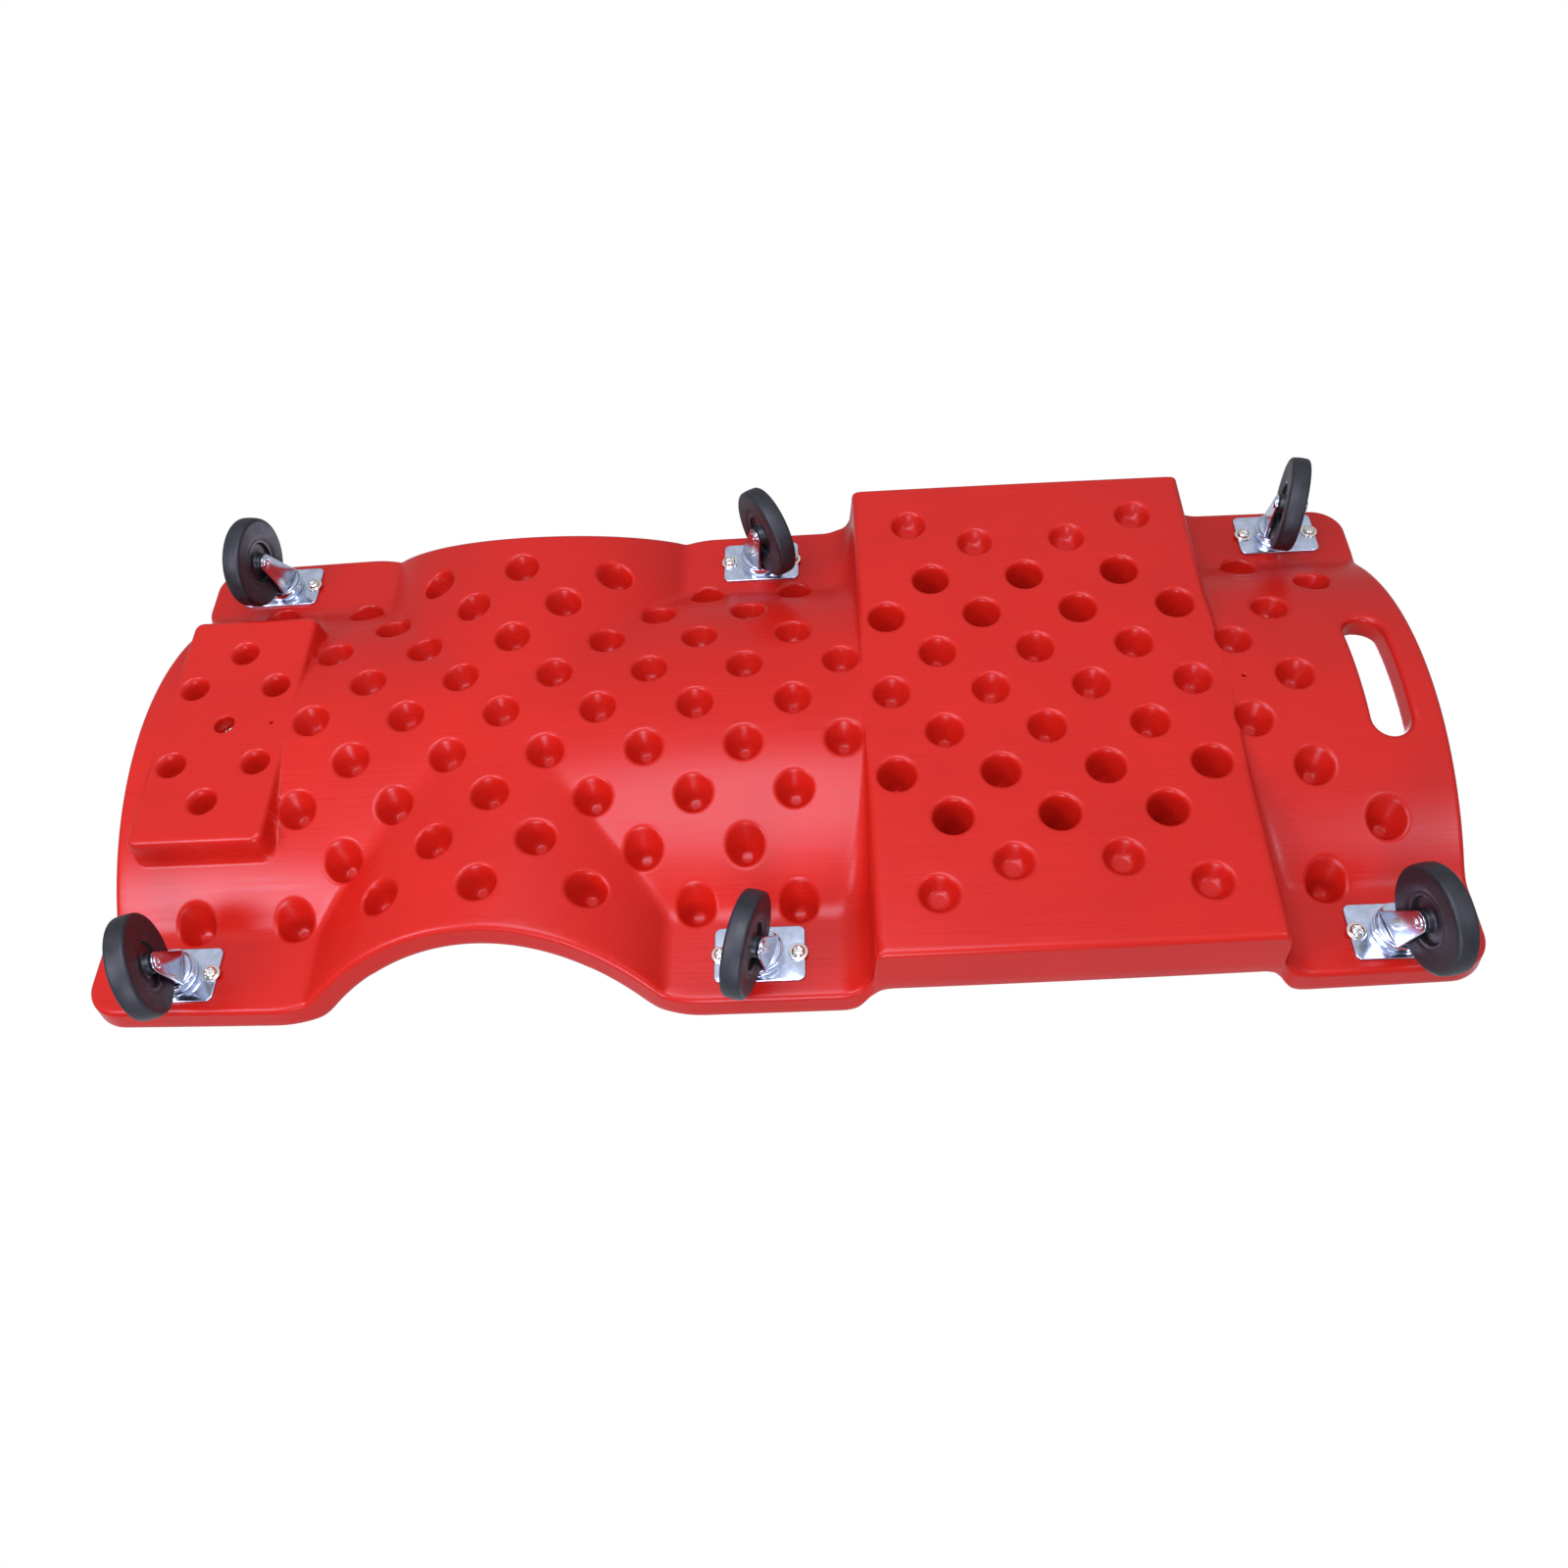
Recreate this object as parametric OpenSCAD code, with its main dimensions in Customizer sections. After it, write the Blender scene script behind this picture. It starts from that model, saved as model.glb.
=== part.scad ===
// Mechanic's creeper: a blow-moulded double-wall deck on six swivel casters.
// X runs from the head end to the foot end, Y to the rider's left, Z up, and the
// floor is at zero. The bed is a trough along X, crossed by a dip for the arms.

/* [Deck] */
// Length over the caster pads
deck_l = 1020; // [900:10:1150]
// Width over the caster pads
deck_w = 458; // [420:2:520]
// How far the ends between the pads stand back from the pads' ends
end_inset = 8; // [2:1:20]
// Thickness of the deck at the caster pads
pad_t = 22; // [16:1:30]
// How far the belly hangs below the caster pads
belly_drop = 53.5; // [45:0.5:60]
// Radius of the belly, an arc across the deck
belly_r = 258.5; // [230:0.5:300]
// Thickness of the double wall along the trough
bed_t = 20; // [14:1:28]
// Thickness of each skin of the double wall
skin_t = 2.5; // [2:0.1:4]
// Corner radius of the caster pads
pad_corner_r = 28; // [12:1:34]
// Depth of the shadow step round the deck's lower edge
edge_step = 3; // [1:0.5:5]

/* [Arm dip] */
// Place of the arm dip along the deck, from its middle
arm_x = -203; // [-230:1:-180]
// Radius of the dip, an arc along the deck
arm_r = 190; // [170:1:210]
// Radius of the scallop that each arm reaches through
scallop_r = 200; // [180:5:230]
// Distance from the deck's middle line to the scallop's deepest point
scallop_y = 190; // [180:1:200]
// Radius that blends the scallop into the pads
scallop_blend_r = 45; // [30:1:60]
// Thickness of the double wall at the dip
dip_t = 22; // [16:1:28]

/* [Tray block] */
// Start of the block that holds the two tool trays
block_x0 = 80; // [75:1:90]
// Gap between the hollow at the block's foot end and the foot casters' plates
block_plate_gap = 31; // [20:1:60]
// Width of the block's lower face
block_w = 433; // [400:1:440]
// Radius of the hollow where the block rises out of the caster pads
block_fillet_r = 26; // [15:0.5:30]
// Draft of the block's side, from its lower face to its rim
block_draft = 5; // [1:0.5:8]
// Height of the block's rim over its lower face
rim_h = 45.5; // [38:0.5:52]
// Distance from the middle line to a tray's inner wall
tray_y0 = 125; // [118:1:135]
// Width of a tray's outer rim
tray_rim = 9; // [6:0.5:14]
// Margin of a tray at each end of the block
tray_margin = 12; // [8:1:20]
// Thickness of the double wall under a tray
tray_t = 15; // [11:0.5:20]
// Corner radius of a tray
tray_corner_r = 14; // [6:1:20]

/* [Head block] */
// Distance from the head end to the head block
head_inset = 35; // [25:1:45]
// Length of the head block
head_l = 112; // [100:1:120]
// Gap between the head block's lower face and the circle that the wheels sweep
head_gap = 32; // [20:1:60]
// How far the head block's sides lean out from its lower face to the headrest's seat
head_flare = 30; // [10:1:36]
// Height of the headrest's seat over the belly
seat_h = 42; // [36:0.5:46]
// Distance from the head end to the headrest's screw
head_screw_inset = 86; // [70:1:110]
// Diameter of the counterbore round that screw
counterbore_d = 15; // [12:0.5:18]
// Depth of the counterbore
counterbore_h = 14; // [8:1:20]

/* [Dimples] */
// Step of the dimple lattice, half its pitch along the deck
lattice = 38; // [34:0.5:42]
// Distance from the head end to the first column of dimples
lattice_inset = 156; // [150:1:170]
// Diameter of a dimple's mouth
dimple_d = 27; // [20:0.5:30]
// Diameter of a dimple's flat tip
dimple_tip_d = 8; // [5:0.5:12]
// Diameter of the flat tip under a tray
tray_tip_d = 14; // [10:0.5:18]

/* [Hand slot] */
// Distance from the foot end to the middle of the hand slot
slot_inset = 34; // [28:1:45]
// Length of the hand slot
slot_l = 108; // [90:1:130]
// Width of the hand slot
slot_w = 27; // [22:1:32]

/* [Headrest] */
// Length of the cushion along the deck
cushion_l = 96; // [80:1:110]
// Width of the cushion across the deck
cushion_w = 186; // [160:1:196]
// Thickness of the cushion at its crown
cushion_h = 32; // [22:1:40]
// Thickness of the cushion's base board
board_t = 4; // [3:0.5:6]
// Corner radius of the base board
board_corner_r = 8; // [4:0.5:14]

/* [Casters] */
// Height from the floor to the caster pads
caster_h = 92; // [90:0.5:100]
// Distance from the middle line to the swivel axes
caster_y = 192; // [188:0.5:194]
// Distance from the deck's ends to the swivel axes of the head and the foot pair
caster_insets = [72, 64]; // [55:1:90]
// Place of the middle pair of swivel axes along the deck
mid_caster_x = -3; // [-20:1:10]
// Directions in which the wheels trail: head, middle and foot pair, right before left
swivels = [97, 74, 60, 106, 105, 80]; // [0:1:360]
// Length of the mounting plate
plate_l = 66; // [62:0.5:72]
// Width of the mounting plate
plate_w = 43; // [38:0.5:46]
// Thickness of the mounting plate
plate_t = 2.5; // [2:0.1:3]
// Distance between the plate's two screws
plate_screw_gap = 56; // [54:0.5:58]
// Radius of the swivel head
crown_r = 18; // [17:0.1:18.5]
// Thickness of the fork's sheet steel
fork_t = 2.2; // [1.8:0.1:2.6]
// Outer radius of the bends between the fork's crown and its legs
bend_r = 6; // [4:0.5:8]
// Distance that the wheel trails behind the swivel axis
trail = 18; // [16:0.5:22]
// Diameter of the wheel
wheel_d = 76; // [70:0.5:76]
// Width of the tyre
tyre_w = 15; // [13:0.5:20]
// Radius of the tyre's shoulders
shoulder_r = 6; // [3:0.5:8]
// Radius of the wheel's recessed centre
recess_r = 17; // [15:0.5:20]
// Radius of the axle
axle_r = 3; // [2.5:0.1:3.5]
// Radius of the kingpin's shank
kingpin_r = 4; // [3.5:0.1:5]

/* [Hidden] */
SPOTS = ["head_right", "head_left", "mid_right", "mid_left", "foot_right", "foot_left"];
PIECES = ["caster_plate", "swivel_balls", "kingpin", "fork", "race_cover", "axle", "wheel_core", "tyre"];

$fn = 64;
fine = 96;
// One overrun for every cut
over = 1;
// Running clearance on a shaft
run = 0.05;
// Gap between parts that turn past each other
gap = 0.3;

// Heights
pad_z = caster_h;
deck_z = pad_z + pad_t;
belly_z = pad_z - belly_drop;
rim_z = belly_z + rim_h;
seat_z = belly_z + seat_h;
tray_z = belly_z + tray_t;
trough_z = belly_z + belly_r;
trough_r = belly_r - bed_t;
dip_z = belly_z + arm_r;
dip_r = arm_r - dip_t;

// Outline
half_l = deck_l / 2;
half_w = deck_w / 2;
caster_x = [caster_insets[0] - half_l, mid_caster_x, half_l - caster_insets[1]];
head_x0 = head_inset - half_l;
head_screw_x = head_screw_inset - half_l;
head_w = 2 * (caster_y - trail - wheel_d / 2 - head_gap);
lattice_x0 = lattice_inset - half_l;
end_x = half_l - end_inset;
pad_in_y = sqrt(belly_r * belly_r - pow(trough_z - pad_z, 2));
block_x1 = caster_x[2] - plate_l / 2 - block_plate_gap - block_fillet_r;
block_l = block_x1 - block_x0;
pad_lap = 4;
pad_end_r = 20;
mid_pad_x1 = block_x0 + pad_lap;
foot_pad_x0 = block_x1 - pad_lap;
rim_half_w = block_w / 2 + block_draft;
block_corner_r = 6;
scallop_cy = scallop_y + scallop_r;
blend_y = half_w - scallop_blend_r;
blend_dx = sqrt(pow(scallop_r + scallop_blend_r, 2) - pow(scallop_cy - blend_y, 2));
blend_share = scallop_r / (scallop_r + scallop_blend_r);
scallop_join_y = scallop_cy - (scallop_cy - blend_y) * blend_share;

// Trays
tray_l = block_l - 2 * tray_margin;
tray_y1 = rim_half_w - tray_rim;
// Along the tray and across the deck, in steps of the lattice from the block's middle
TRAY_DIMPLE_SHARES = [[-2.43, 4.63], [-1.02, 4.02], [0.97, 4.02], [2.47, 4.58]];
// Along and across the head block, in steps of the lattice from its screw
HEAD_DIMPLE_SHARES = [[-0.88, 0.98], [0, 1.9], [0.88, 0.98]];
head_dimple_d = 22;
vent_d = 3;
slot_x = end_x - slot_inset;

// Caster
axle_z = pad_z - (caster_h - wheel_d / 2);
race_out_r = 16;
race_in_r = 9;
race_h = 2;
ball_r = 2.4;
ball_ring_r = 12.5;
ball_count = 12;
race_z = pad_z - plate_t - race_h;
crown_z = race_z - 2 * ball_r - 2 * run;
cover_t = 1.2;
cover_top_z = pad_z - plate_t - 2 * gap;
leg_in = tyre_w / 2 + 2.2;
leg_tip_r = 7.5;
leg_back = 14;
leg_front = 15;
rivet_head_r = 4.8;
rivet_head_t = 1.3;
rivet_bore_r = 1.6;
bend_in_r = bend_r - fork_t;
// The dome clears the channel where the bends start
dome_r = leg_in - bend_in_r + sqrt(2 * bend_in_r * gap - gap * gap) - gap;
dome_h = 4;
hub_r = 8;
web_t = 8;
core_rim_t = 3;
plate_corner_r = 5;

// Fasteners
screw_r = 2.4;
screw_hole_r = 2.5;
plate_hole_r = 2.75;
screw_in = 14;
washer_r = 7;
washer_t = 1.2;
pan_r = 5;
pan_h = 3.2;
slot_t = 1.2;
slot_depth = 1.6;
bolt_r = 3;
bolt_hole_r = 3.25;
bolt_head_r = 6;
bolt_head_h = 4;

// Height of the deck's underside at a place, without the blocks
function underside(x, y) = min(pad_z,
    abs(y) < pad_in_y ? trough_z - sqrt(belly_r * belly_r - y * y) : pad_z,
    abs(x - arm_x) < arm_r ? dip_z - sqrt(arm_r * arm_r - pow(x - arm_x, 2)) : pad_z);
// Height of the bed over the same place
function bed_top(x, y) = min(deck_z,
    abs(y) < trough_r ? trough_z - sqrt(trough_r * trough_r - y * y) : deck_z,
    abs(x - arm_x) < dip_r ? dip_z - sqrt(dip_r * dip_r - pow(x - arm_x, 2)) : deck_z);
function in_block(x) = x > block_x0 && x < block_x1;
// Least height of the bed over the rim of a dimple's tip
function bed_over(x, y) = let (t = dimple_tip_d / 2)
    min([for (s = [-t, t]) each [bed_top(x + s, y), bed_top(x, y + s)]]);
function spot(i) = [caster_x[floor(i / 2)], (i % 2 == 0 ? -1 : 1) * caster_y];

// A convex corner's waste, to be cut from a plan, with the corner at the origin
module corner_waste(r) {
    difference() {
        translate([-r, -r]) square(r + over);
        translate([-r, -r]) circle(r = r, $fn = fine);
    }
}

// What an arm scallop takes from the plan on the side of positive y
module scallop_waste() {
    translate([arm_x, scallop_cy]) circle(r = scallop_r, $fn = 2 * fine);
    difference() {
        translate([arm_x - blend_dx, scallop_join_y]) square([2 * blend_dx, scallop_cy - scallop_join_y]);
        for (s = [-1, 1])
            translate([arm_x + s * blend_dx, blend_y]) circle(r = scallop_blend_r, $fn = fine);
    }
}

// Plan of the deck. inset draws the edge in by that much, for the step round its foot
module plan(inset = 0) {
    difference() {
        union() {
            translate([-end_x + inset, -half_w + inset]) square([2 * (end_x - inset), deck_w - 2 * inset]);
            for (s = [-1, 1]) {
                translate([-half_l + inset, s > 0 ? pad_in_y : -half_w + inset])
                    square([half_l / 2, half_w - pad_in_y - inset]);
                translate([half_l / 2, s > 0 ? pad_in_y : -half_w + inset])
                    square([half_l / 2 - inset, half_w - pad_in_y - inset]);
            }
        }
        for (s = [0, 1]) mirror([0, s]) {
            translate([0, -inset]) scallop_waste();
            translate([half_l - inset, half_w - inset]) corner_waste(pad_corner_r);
            mirror([1, 0]) translate([half_l - inset, half_w - inset]) corner_waste(pad_corner_r);
        }
    }
}

// Waste beside the block: between the middle and the foot pads nothing stands over its rim
module over_tray_waste() {
    for (s = [0, 1]) mirror([0, s]) {
        translate([mid_pad_x1, tray_y0]) square([foot_pad_x0 - mid_pad_x1, half_w]);
        translate([mid_pad_x1, half_w]) corner_waste(pad_end_r);
        translate([foot_pad_x0, half_w]) mirror([1, 0]) corner_waste(pad_end_r);
    }
}

// A cylinder along X or along Y, as wide as the deck is long or wide
module along_x(r) {
    translate([-half_l - over, 0, trough_z]) rotate([0, 90, 0]) cylinder(r = r, h = deck_l + 2 * over, $fn = 2 * fine);
}
module along_y(r) {
    translate([arm_x, half_w + over, dip_z]) rotate([90, 0, 0]) cylinder(r = r, h = deck_w + 2 * over, $fn = 2 * fine);
}

// A rectangle with round corners from its lower left corner
module round_rect(size, r) {
    translate([r, 0]) square([size[0] - 2 * r, size[1]]);
    translate([0, r]) square([size[0], size[1] - 2 * r]);
    for (x = [r, size[0] - r]) for (y = [r, size[1] - r]) translate([x, y]) circle(r = r);
}

// Everything below the deck's top plane, before the trough is taken out
module deck_mass() {
    translate([0, 0, pad_z + edge_step]) linear_extrude(pad_t - edge_step) plan();
    translate([0, 0, pad_z]) linear_extrude(edge_step + over) plan(edge_step);
    intersection() {
        translate([0, 0, belly_z - over]) linear_extrude(belly_drop + 2 * over) plan();
        union() {
            along_x(belly_r);
            along_y(arm_r);
        }
    }
}

module block_mass() {
    translate([block_x0, -block_w / 2, belly_z])
        linear_extrude(rim_h / 2) round_rect([block_l, block_w], block_corner_r);
    translate([block_x0, -rim_half_w, belly_z + block_draft])
        linear_extrude(belly_drop + edge_step - block_draft) round_rect([block_l, 2 * rim_half_w], block_corner_r);
    // Hollows at the block's ends, from the belly out to the rim
    fillet_y0 = pad_in_y - 2 * block_fillet_r;
    for (t = [0, 1]) mirror([0, t, 0]) for (x = [block_x0 - block_fillet_r, block_x1])
        difference() {
            translate([x, fillet_y0, pad_z - block_fillet_r])
                cube([block_fillet_r, rim_half_w - fillet_y0, block_fillet_r + edge_step]);
            translate([x < block_x0 ? x : x + block_fillet_r, half_w, pad_z - block_fillet_r])
                rotate([90, 0, 0]) cylinder(r = block_fillet_r, h = half_w);
        }
}

// The head block, a bar along X whose sides lean out from its lower face
module head_mass() {
    translate([head_x0, 0, belly_z]) rotate([90, 0, 90]) linear_extrude(head_l) polygon([
        [-head_w / 2, 0], [head_w / 2, 0],
        [head_w / 2 + head_flare, seat_h], [-head_w / 2 - head_flare, seat_h]]);
}

// Trough, arm dip, trays and what is open over the trays
module deck_hollows() {
    along_x(trough_r);
    along_y(dip_r);
    translate([0, 0, rim_z]) linear_extrude(deck_z) over_tray_waste();
    for (s = [0, 1]) mirror([0, s, 0])
        translate([block_x0 + tray_margin, tray_y0, tray_z])
            linear_extrude(rim_h) round_rect([tray_l, tray_y1 - tray_y0], tray_corner_r);
}

// A dimple from below at a place, with its mouth at height z
module dimple(x, y, z, depth, mouth_d = dimple_d, tip_d = dimple_tip_d) {
    flare = (mouth_d - tip_d) / 2 / depth;
    below = lattice / 2;
    translate([x, y, z - below])
        cylinder(r1 = mouth_d / 2 + below * flare, r2 = tip_d / 2, h = depth + below, $fn = 32);
}

// The lattice's columns and rows that are left out at the walls of the blocks, under the trays and at the hand slot
function skipped(c, r) = abs(r) == 3 && (c == 11 || c == 19)
    || abs(r) == 4 && c > 11 && c < 19
    || abs(r) < 4 && c < 0
    || abs(r) == 1 && c == 21;
module dimples() {
    for (c = [-2:21]) for (r = [-4:4])
        if ((c + r) % 2 == 0 && !skipped(c, r)) {
            x = lattice_x0 + c * lattice;
            y = r * lattice;
            z = in_block(x) ? belly_z : underside(x, y);
            dimple(x, y, z, min(bed_over(x, y), in_block(x) ? rim_z : deck_z) - z - skin_t);
        }
    for (s = [-1, 1]) {
        for (d = TRAY_DIMPLE_SHARES)
            dimple(block_x0 + block_l / 2 + d[0] * lattice, s * d[1] * lattice, belly_z, tray_t - skin_t,
                   dimple_d, tray_tip_d);
        for (d = HEAD_DIMPLE_SHARES)
            dimple(head_screw_x + d[0] * lattice, s * d[1] * lattice, belly_z,
                   seat_h / 2, head_dimple_d, dimple_tip_d);
    }
}

module deck_holes() {
    // Hand slot
    translate([slot_x, 0, belly_z - over]) linear_extrude(deck_z) {
        square([slot_w, slot_l - slot_w], center = true);
        for (s = [-1, 1]) translate([0, s * (slot_l - slot_w) / 2]) circle(d = slot_w);
    }
    // Headrest's screw
    translate([head_screw_x, 0, belly_z - over]) {
        cylinder(r = bolt_hole_r, h = seat_h + 2 * over);
        cylinder(d = counterbore_d, h = counterbore_h + over);
    }
    // Vents of the double wall
    for (x = [head_screw_x + lattice, block_x1 + 4 * vent_d])
        translate([x, 0, belly_z - over]) cylinder(d = vent_d, h = bed_t / 2 + over);
    // Caster screws
    for (i = [0:5]) for (s = [-1, 1])
        translate([spot(i)[0] + s * plate_screw_gap / 2, spot(i)[1], pad_z - over])
            cylinder(r = screw_hole_r, h = screw_in + 2 * over);
}

module deck() {
    color("#d6332e") difference() {
        union() {
            difference() {
                union() {
                    deck_mass();
                    block_mass();
                }
                deck_hollows();
            }
            head_mass();
        }
        dimples();
        deck_holes();
    }
}

module headrest_board() {
    color("#3a3a3a") difference() {
        translate([head_screw_x - cushion_l / 2, -cushion_w / 2, seat_z])
            linear_extrude(board_t) round_rect([cushion_l, cushion_w], board_corner_r);
        translate([head_screw_x, 0, seat_z - over]) cylinder(r = bolt_r, h = board_t + 2 * over);
    }
}

// The cushion's sides draw in to the board and its top is crowned both ways
module headrest_cushion() {
    steps = 12;
    n = 4 * steps;
    crown = cushion_h / 3;
    side = cushion_h - crown;
    // Height and width of each ring of the side, from the board up, and width of the crown's rings
    side_shares = [[0, 0.97], [0.12, 0.995], [0.5, 1], [0.85, 0.985], [1, 0.95]];
    crown_shares = [0.85, 0.68, 0.45, 0.2];
    // A rectangle with soft corners, as a superellipse
    function soft(v) = sign(v) * pow(abs(v), 0.28);
    function loop(h, share) = [for (k = [0:n - 1]) let (a = 360 * k / n)
        [share * cushion_l / 2 * soft(cos(a)), share * cushion_w / 2 * soft(sin(a)), h]];
    rings = concat([for (s = side_shares) loop(s[0] * side, s[1])],
                   [for (t = crown_shares) loop(side + crown * (1 - t * t), t)]);
    pts = concat([for (r = rings) each r], [[0, 0, 0], [0, 0, side + crown]]);
    last = len(rings) - 1;
    faces = concat(
        [for (j = [0:last - 1]) for (k = [0:n - 1]) [j * n + k, (j + 1) * n + k, (j + 1) * n + (k + 1) % n]],
        [for (j = [0:last - 1]) for (k = [0:n - 1]) [j * n + k, (j + 1) * n + (k + 1) % n, j * n + (k + 1) % n]],
        [for (k = [0:n - 1]) [len(pts) - 2, k, (k + 1) % n]],
        [for (k = [0:n - 1]) [len(pts) - 1, last * n + (k + 1) % n, last * n + k]]);
    color("#1c1c1e") translate([head_screw_x, 0, seat_z + board_t]) polyhedron(pts, faces);
}

module headrest_screw() {
    head_z = belly_z + counterbore_h;
    color("#c9c9cc") {
        translate([head_screw_x, 0, head_z - bolt_head_h]) difference() {
            cylinder(r = bolt_head_r, h = bolt_head_h);
            cross_slot();
        }
        translate([head_screw_x, 0, head_z]) cylinder(r = bolt_r, h = seat_z + board_t - head_z);
    }
}

// The cross in a screw's head, open downwards at the origin
module cross_slot() {
    for (a = [0, 90]) rotate(a)
        translate([-pan_r / 2, -slot_t / 2, -over]) cube([pan_r, slot_t, slot_depth + over]);
}

// Places something under each caster screw's hole
module at_screws() {
    for (i = [0:5]) for (s = [-1, 1])
        translate([spot(i)[0] + s * plate_screw_gap / 2, spot(i)[1], pad_z - plate_t]) children();
}

module caster_washers() {
    color("#d8d8dc") at_screws() difference() {
        translate([0, 0, -washer_t]) cylinder(r = washer_r, h = washer_t);
        translate([0, 0, -washer_t - over]) cylinder(r = plate_hole_r, h = washer_t + 2 * over);
    }
}

module caster_screws() {
    color("#d9d4cc") at_screws() {
        translate([0, 0, -washer_t]) cylinder(r = screw_r, h = washer_t + plate_t + screw_in);
        translate([0, 0, -washer_t - pan_h]) difference() {
            rotate_extrude() pan_profile();
            cross_slot();
        }
    }
}

// Half section of a pan head that points down, with a round shoulder
module pan_profile() {
    r = pan_h / 2;
    translate([0, r]) square([pan_r, pan_h - r]);
    square([pan_r - r, pan_h]);
    translate([pan_r - r, r]) circle(r = r);
}

// Puts a piece on the swivel axis of one caster, turned so that +X is where the wheel trails
module at_swivel(i) {
    translate([spot(i)[0], spot(i)[1], 0]) rotate(swivels[i]) children();
}
// The same, at the wheel's centre, with +Z along the axle
module at_axle(i) {
    at_swivel(i) translate([trail, 0, axle_z]) rotate([90, 0, 0]) children();
}
// A ring about +Z by its radii and height
module ring(r_in, r_out, h) {
    rotate_extrude() translate([r_in, 0]) square([r_out - r_in, h]);
}

module caster_plate(i) {
    color("#b9c4d6") translate([spot(i)[0], spot(i)[1], 0]) {
        difference() {
            translate([-plate_l / 2, -plate_w / 2, pad_z - plate_t])
                linear_extrude(plate_t) round_rect([plate_l, plate_w], plate_corner_r);
            translate([0, 0, pad_z - plate_t - over]) cylinder(r = kingpin_r, h = plate_t + 2 * over);
            for (s = [-1, 1]) translate([s * plate_screw_gap / 2, 0, pad_z - plate_t - over])
                cylinder(r = plate_hole_r, h = plate_t + 2 * over);
        }
        translate([0, 0, race_z]) ring(race_in_r, race_out_r, race_h);
    }
}

module swivel_balls(i) {
    color("#e8e8ec") translate([spot(i)[0], spot(i)[1], race_z - ball_r - run])
        for (k = [0:ball_count - 1]) rotate(360 * k / ball_count)
            translate([ball_ring_r, 0, 0]) sphere(r = ball_r, $fn = 24);
}

// The kingpin's shank goes through the plate and the fork, and its head is a dome below the crown
module kingpin(i) {
    head_z = crown_z - fork_t - gap;
    color("#ccd3e0") translate([spot(i)[0], spot(i)[1], 0]) {
        translate([0, 0, head_z - over / 2]) cylinder(r = kingpin_r, h = pad_z - head_z + over / 2);
        translate([0, 0, head_z]) rotate_extrude() dome_profile();
    }
}

// Half section of a cap of a sphere that hangs below the origin
module dome_profile() {
    r = (dome_r * dome_r + dome_h * dome_h) / (2 * dome_h);
    intersection() {
        translate([0, r - dome_h]) circle(r = r, $fn = fine);
        translate([0, -dome_h]) square([dome_r, dome_h]);
    }
}

// The point where the line from p touches a circle, on its right or left side
function touch(p, c, r, side) = let (
    d = c - p,
    l = norm(d),
    a = atan2(d[1], d[0]) + side * asin(r / l),
    t = sqrt(l * l - r * r)) p + t * [cos(a), sin(a)];

// One leg of the fork from the side: x away from the swivel axis, y up
module leg_profile() {
    tip = [trail, axle_z];
    back = [-leg_back, crown_z];
    front = [leg_front, crown_z];
    polygon([back, touch(back, tip, leg_tip_r, -1), touch(front, tip, leg_tip_r, 1), front]);
    translate(tip) circle(r = leg_tip_r);
}

// A rectangle on the origin's line whose upper corners are round
module arch(w, h, r) {
    translate([-w / 2, 0]) square([w, h - r]);
    translate([r - w / 2, 0]) square([w - 2 * r, h]);
    for (s = [-1, 1]) translate([s * (w / 2 - r), h - r]) circle(r = r);
}

// Crown and legs are bent as one channel, open downwards, which the legs' profile trims from the side
module fork_channel() {
    half = leg_in + fork_t + over;
    intersection() {
        translate([-leg_back - over, 0, 0]) rotate([90, 0, 90])
            linear_extrude(leg_back + trail + leg_tip_r + 2 * over) difference() {
                arch(2 * (leg_in + fork_t), crown_z, bend_r);
                translate([0, -over]) arch(2 * leg_in, crown_z - fork_t + over, bend_in_r);
            }
        translate([0, half, 0]) rotate([90, 0, 0]) linear_extrude(2 * half) leg_profile();
    }
}

module fork(i) {
    color("#b9c4d6") at_swivel(i) difference() {
        union() {
            translate([0, 0, crown_z - fork_t]) cylinder(r = crown_r, h = fork_t);
            fork_channel();
        }
        translate([0, 0, crown_z - fork_t - over]) cylinder(r = kingpin_r + run, h = fork_t + 2 * over);
        translate([trail, leg_in + fork_t + over, axle_z]) rotate([90, 0, 0])
            cylinder(r = axle_r, h = 2 * (leg_in + fork_t + over));
    }
}

// The bright ring round the ball race, fixed to the fork's crown
module race_cover(i) {
    color("#d5dbe6") at_swivel(i) translate([0, 0, crown_z])
        ring(crown_r - cover_t, crown_r, cover_top_z - crown_z);
}

module axle(i) {
    half = leg_in + fork_t;
    color("#c4cad6") at_axle(i) difference() {
        union() {
            translate([0, 0, -half]) cylinder(r = axle_r, h = 2 * half);
            for (s = [0, 1]) mirror([0, 0, s]) translate([0, 0, half]) cylinder(r = rivet_head_r, h = rivet_head_t);
        }
        translate([0, 0, -half - rivet_head_t - over]) cylinder(r = rivet_bore_r, h = 2 * (half + rivet_head_t + over));
    }
}

module wheel_core(i) {
    hub_half = leg_in - gap;
    rim_half = tyre_w / 2 - 1;
    color("#26262c") at_axle(i) rotate_extrude($fn = fine) {
        translate([axle_r + run, -hub_half]) square([hub_r - axle_r - run, 2 * hub_half]);
        translate([axle_r + run, -web_t / 2]) square([recess_r + core_rim_t - axle_r - run, web_t]);
        translate([recess_r, -rim_half]) square([core_rim_t, 2 * rim_half]);
    }
}

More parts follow.
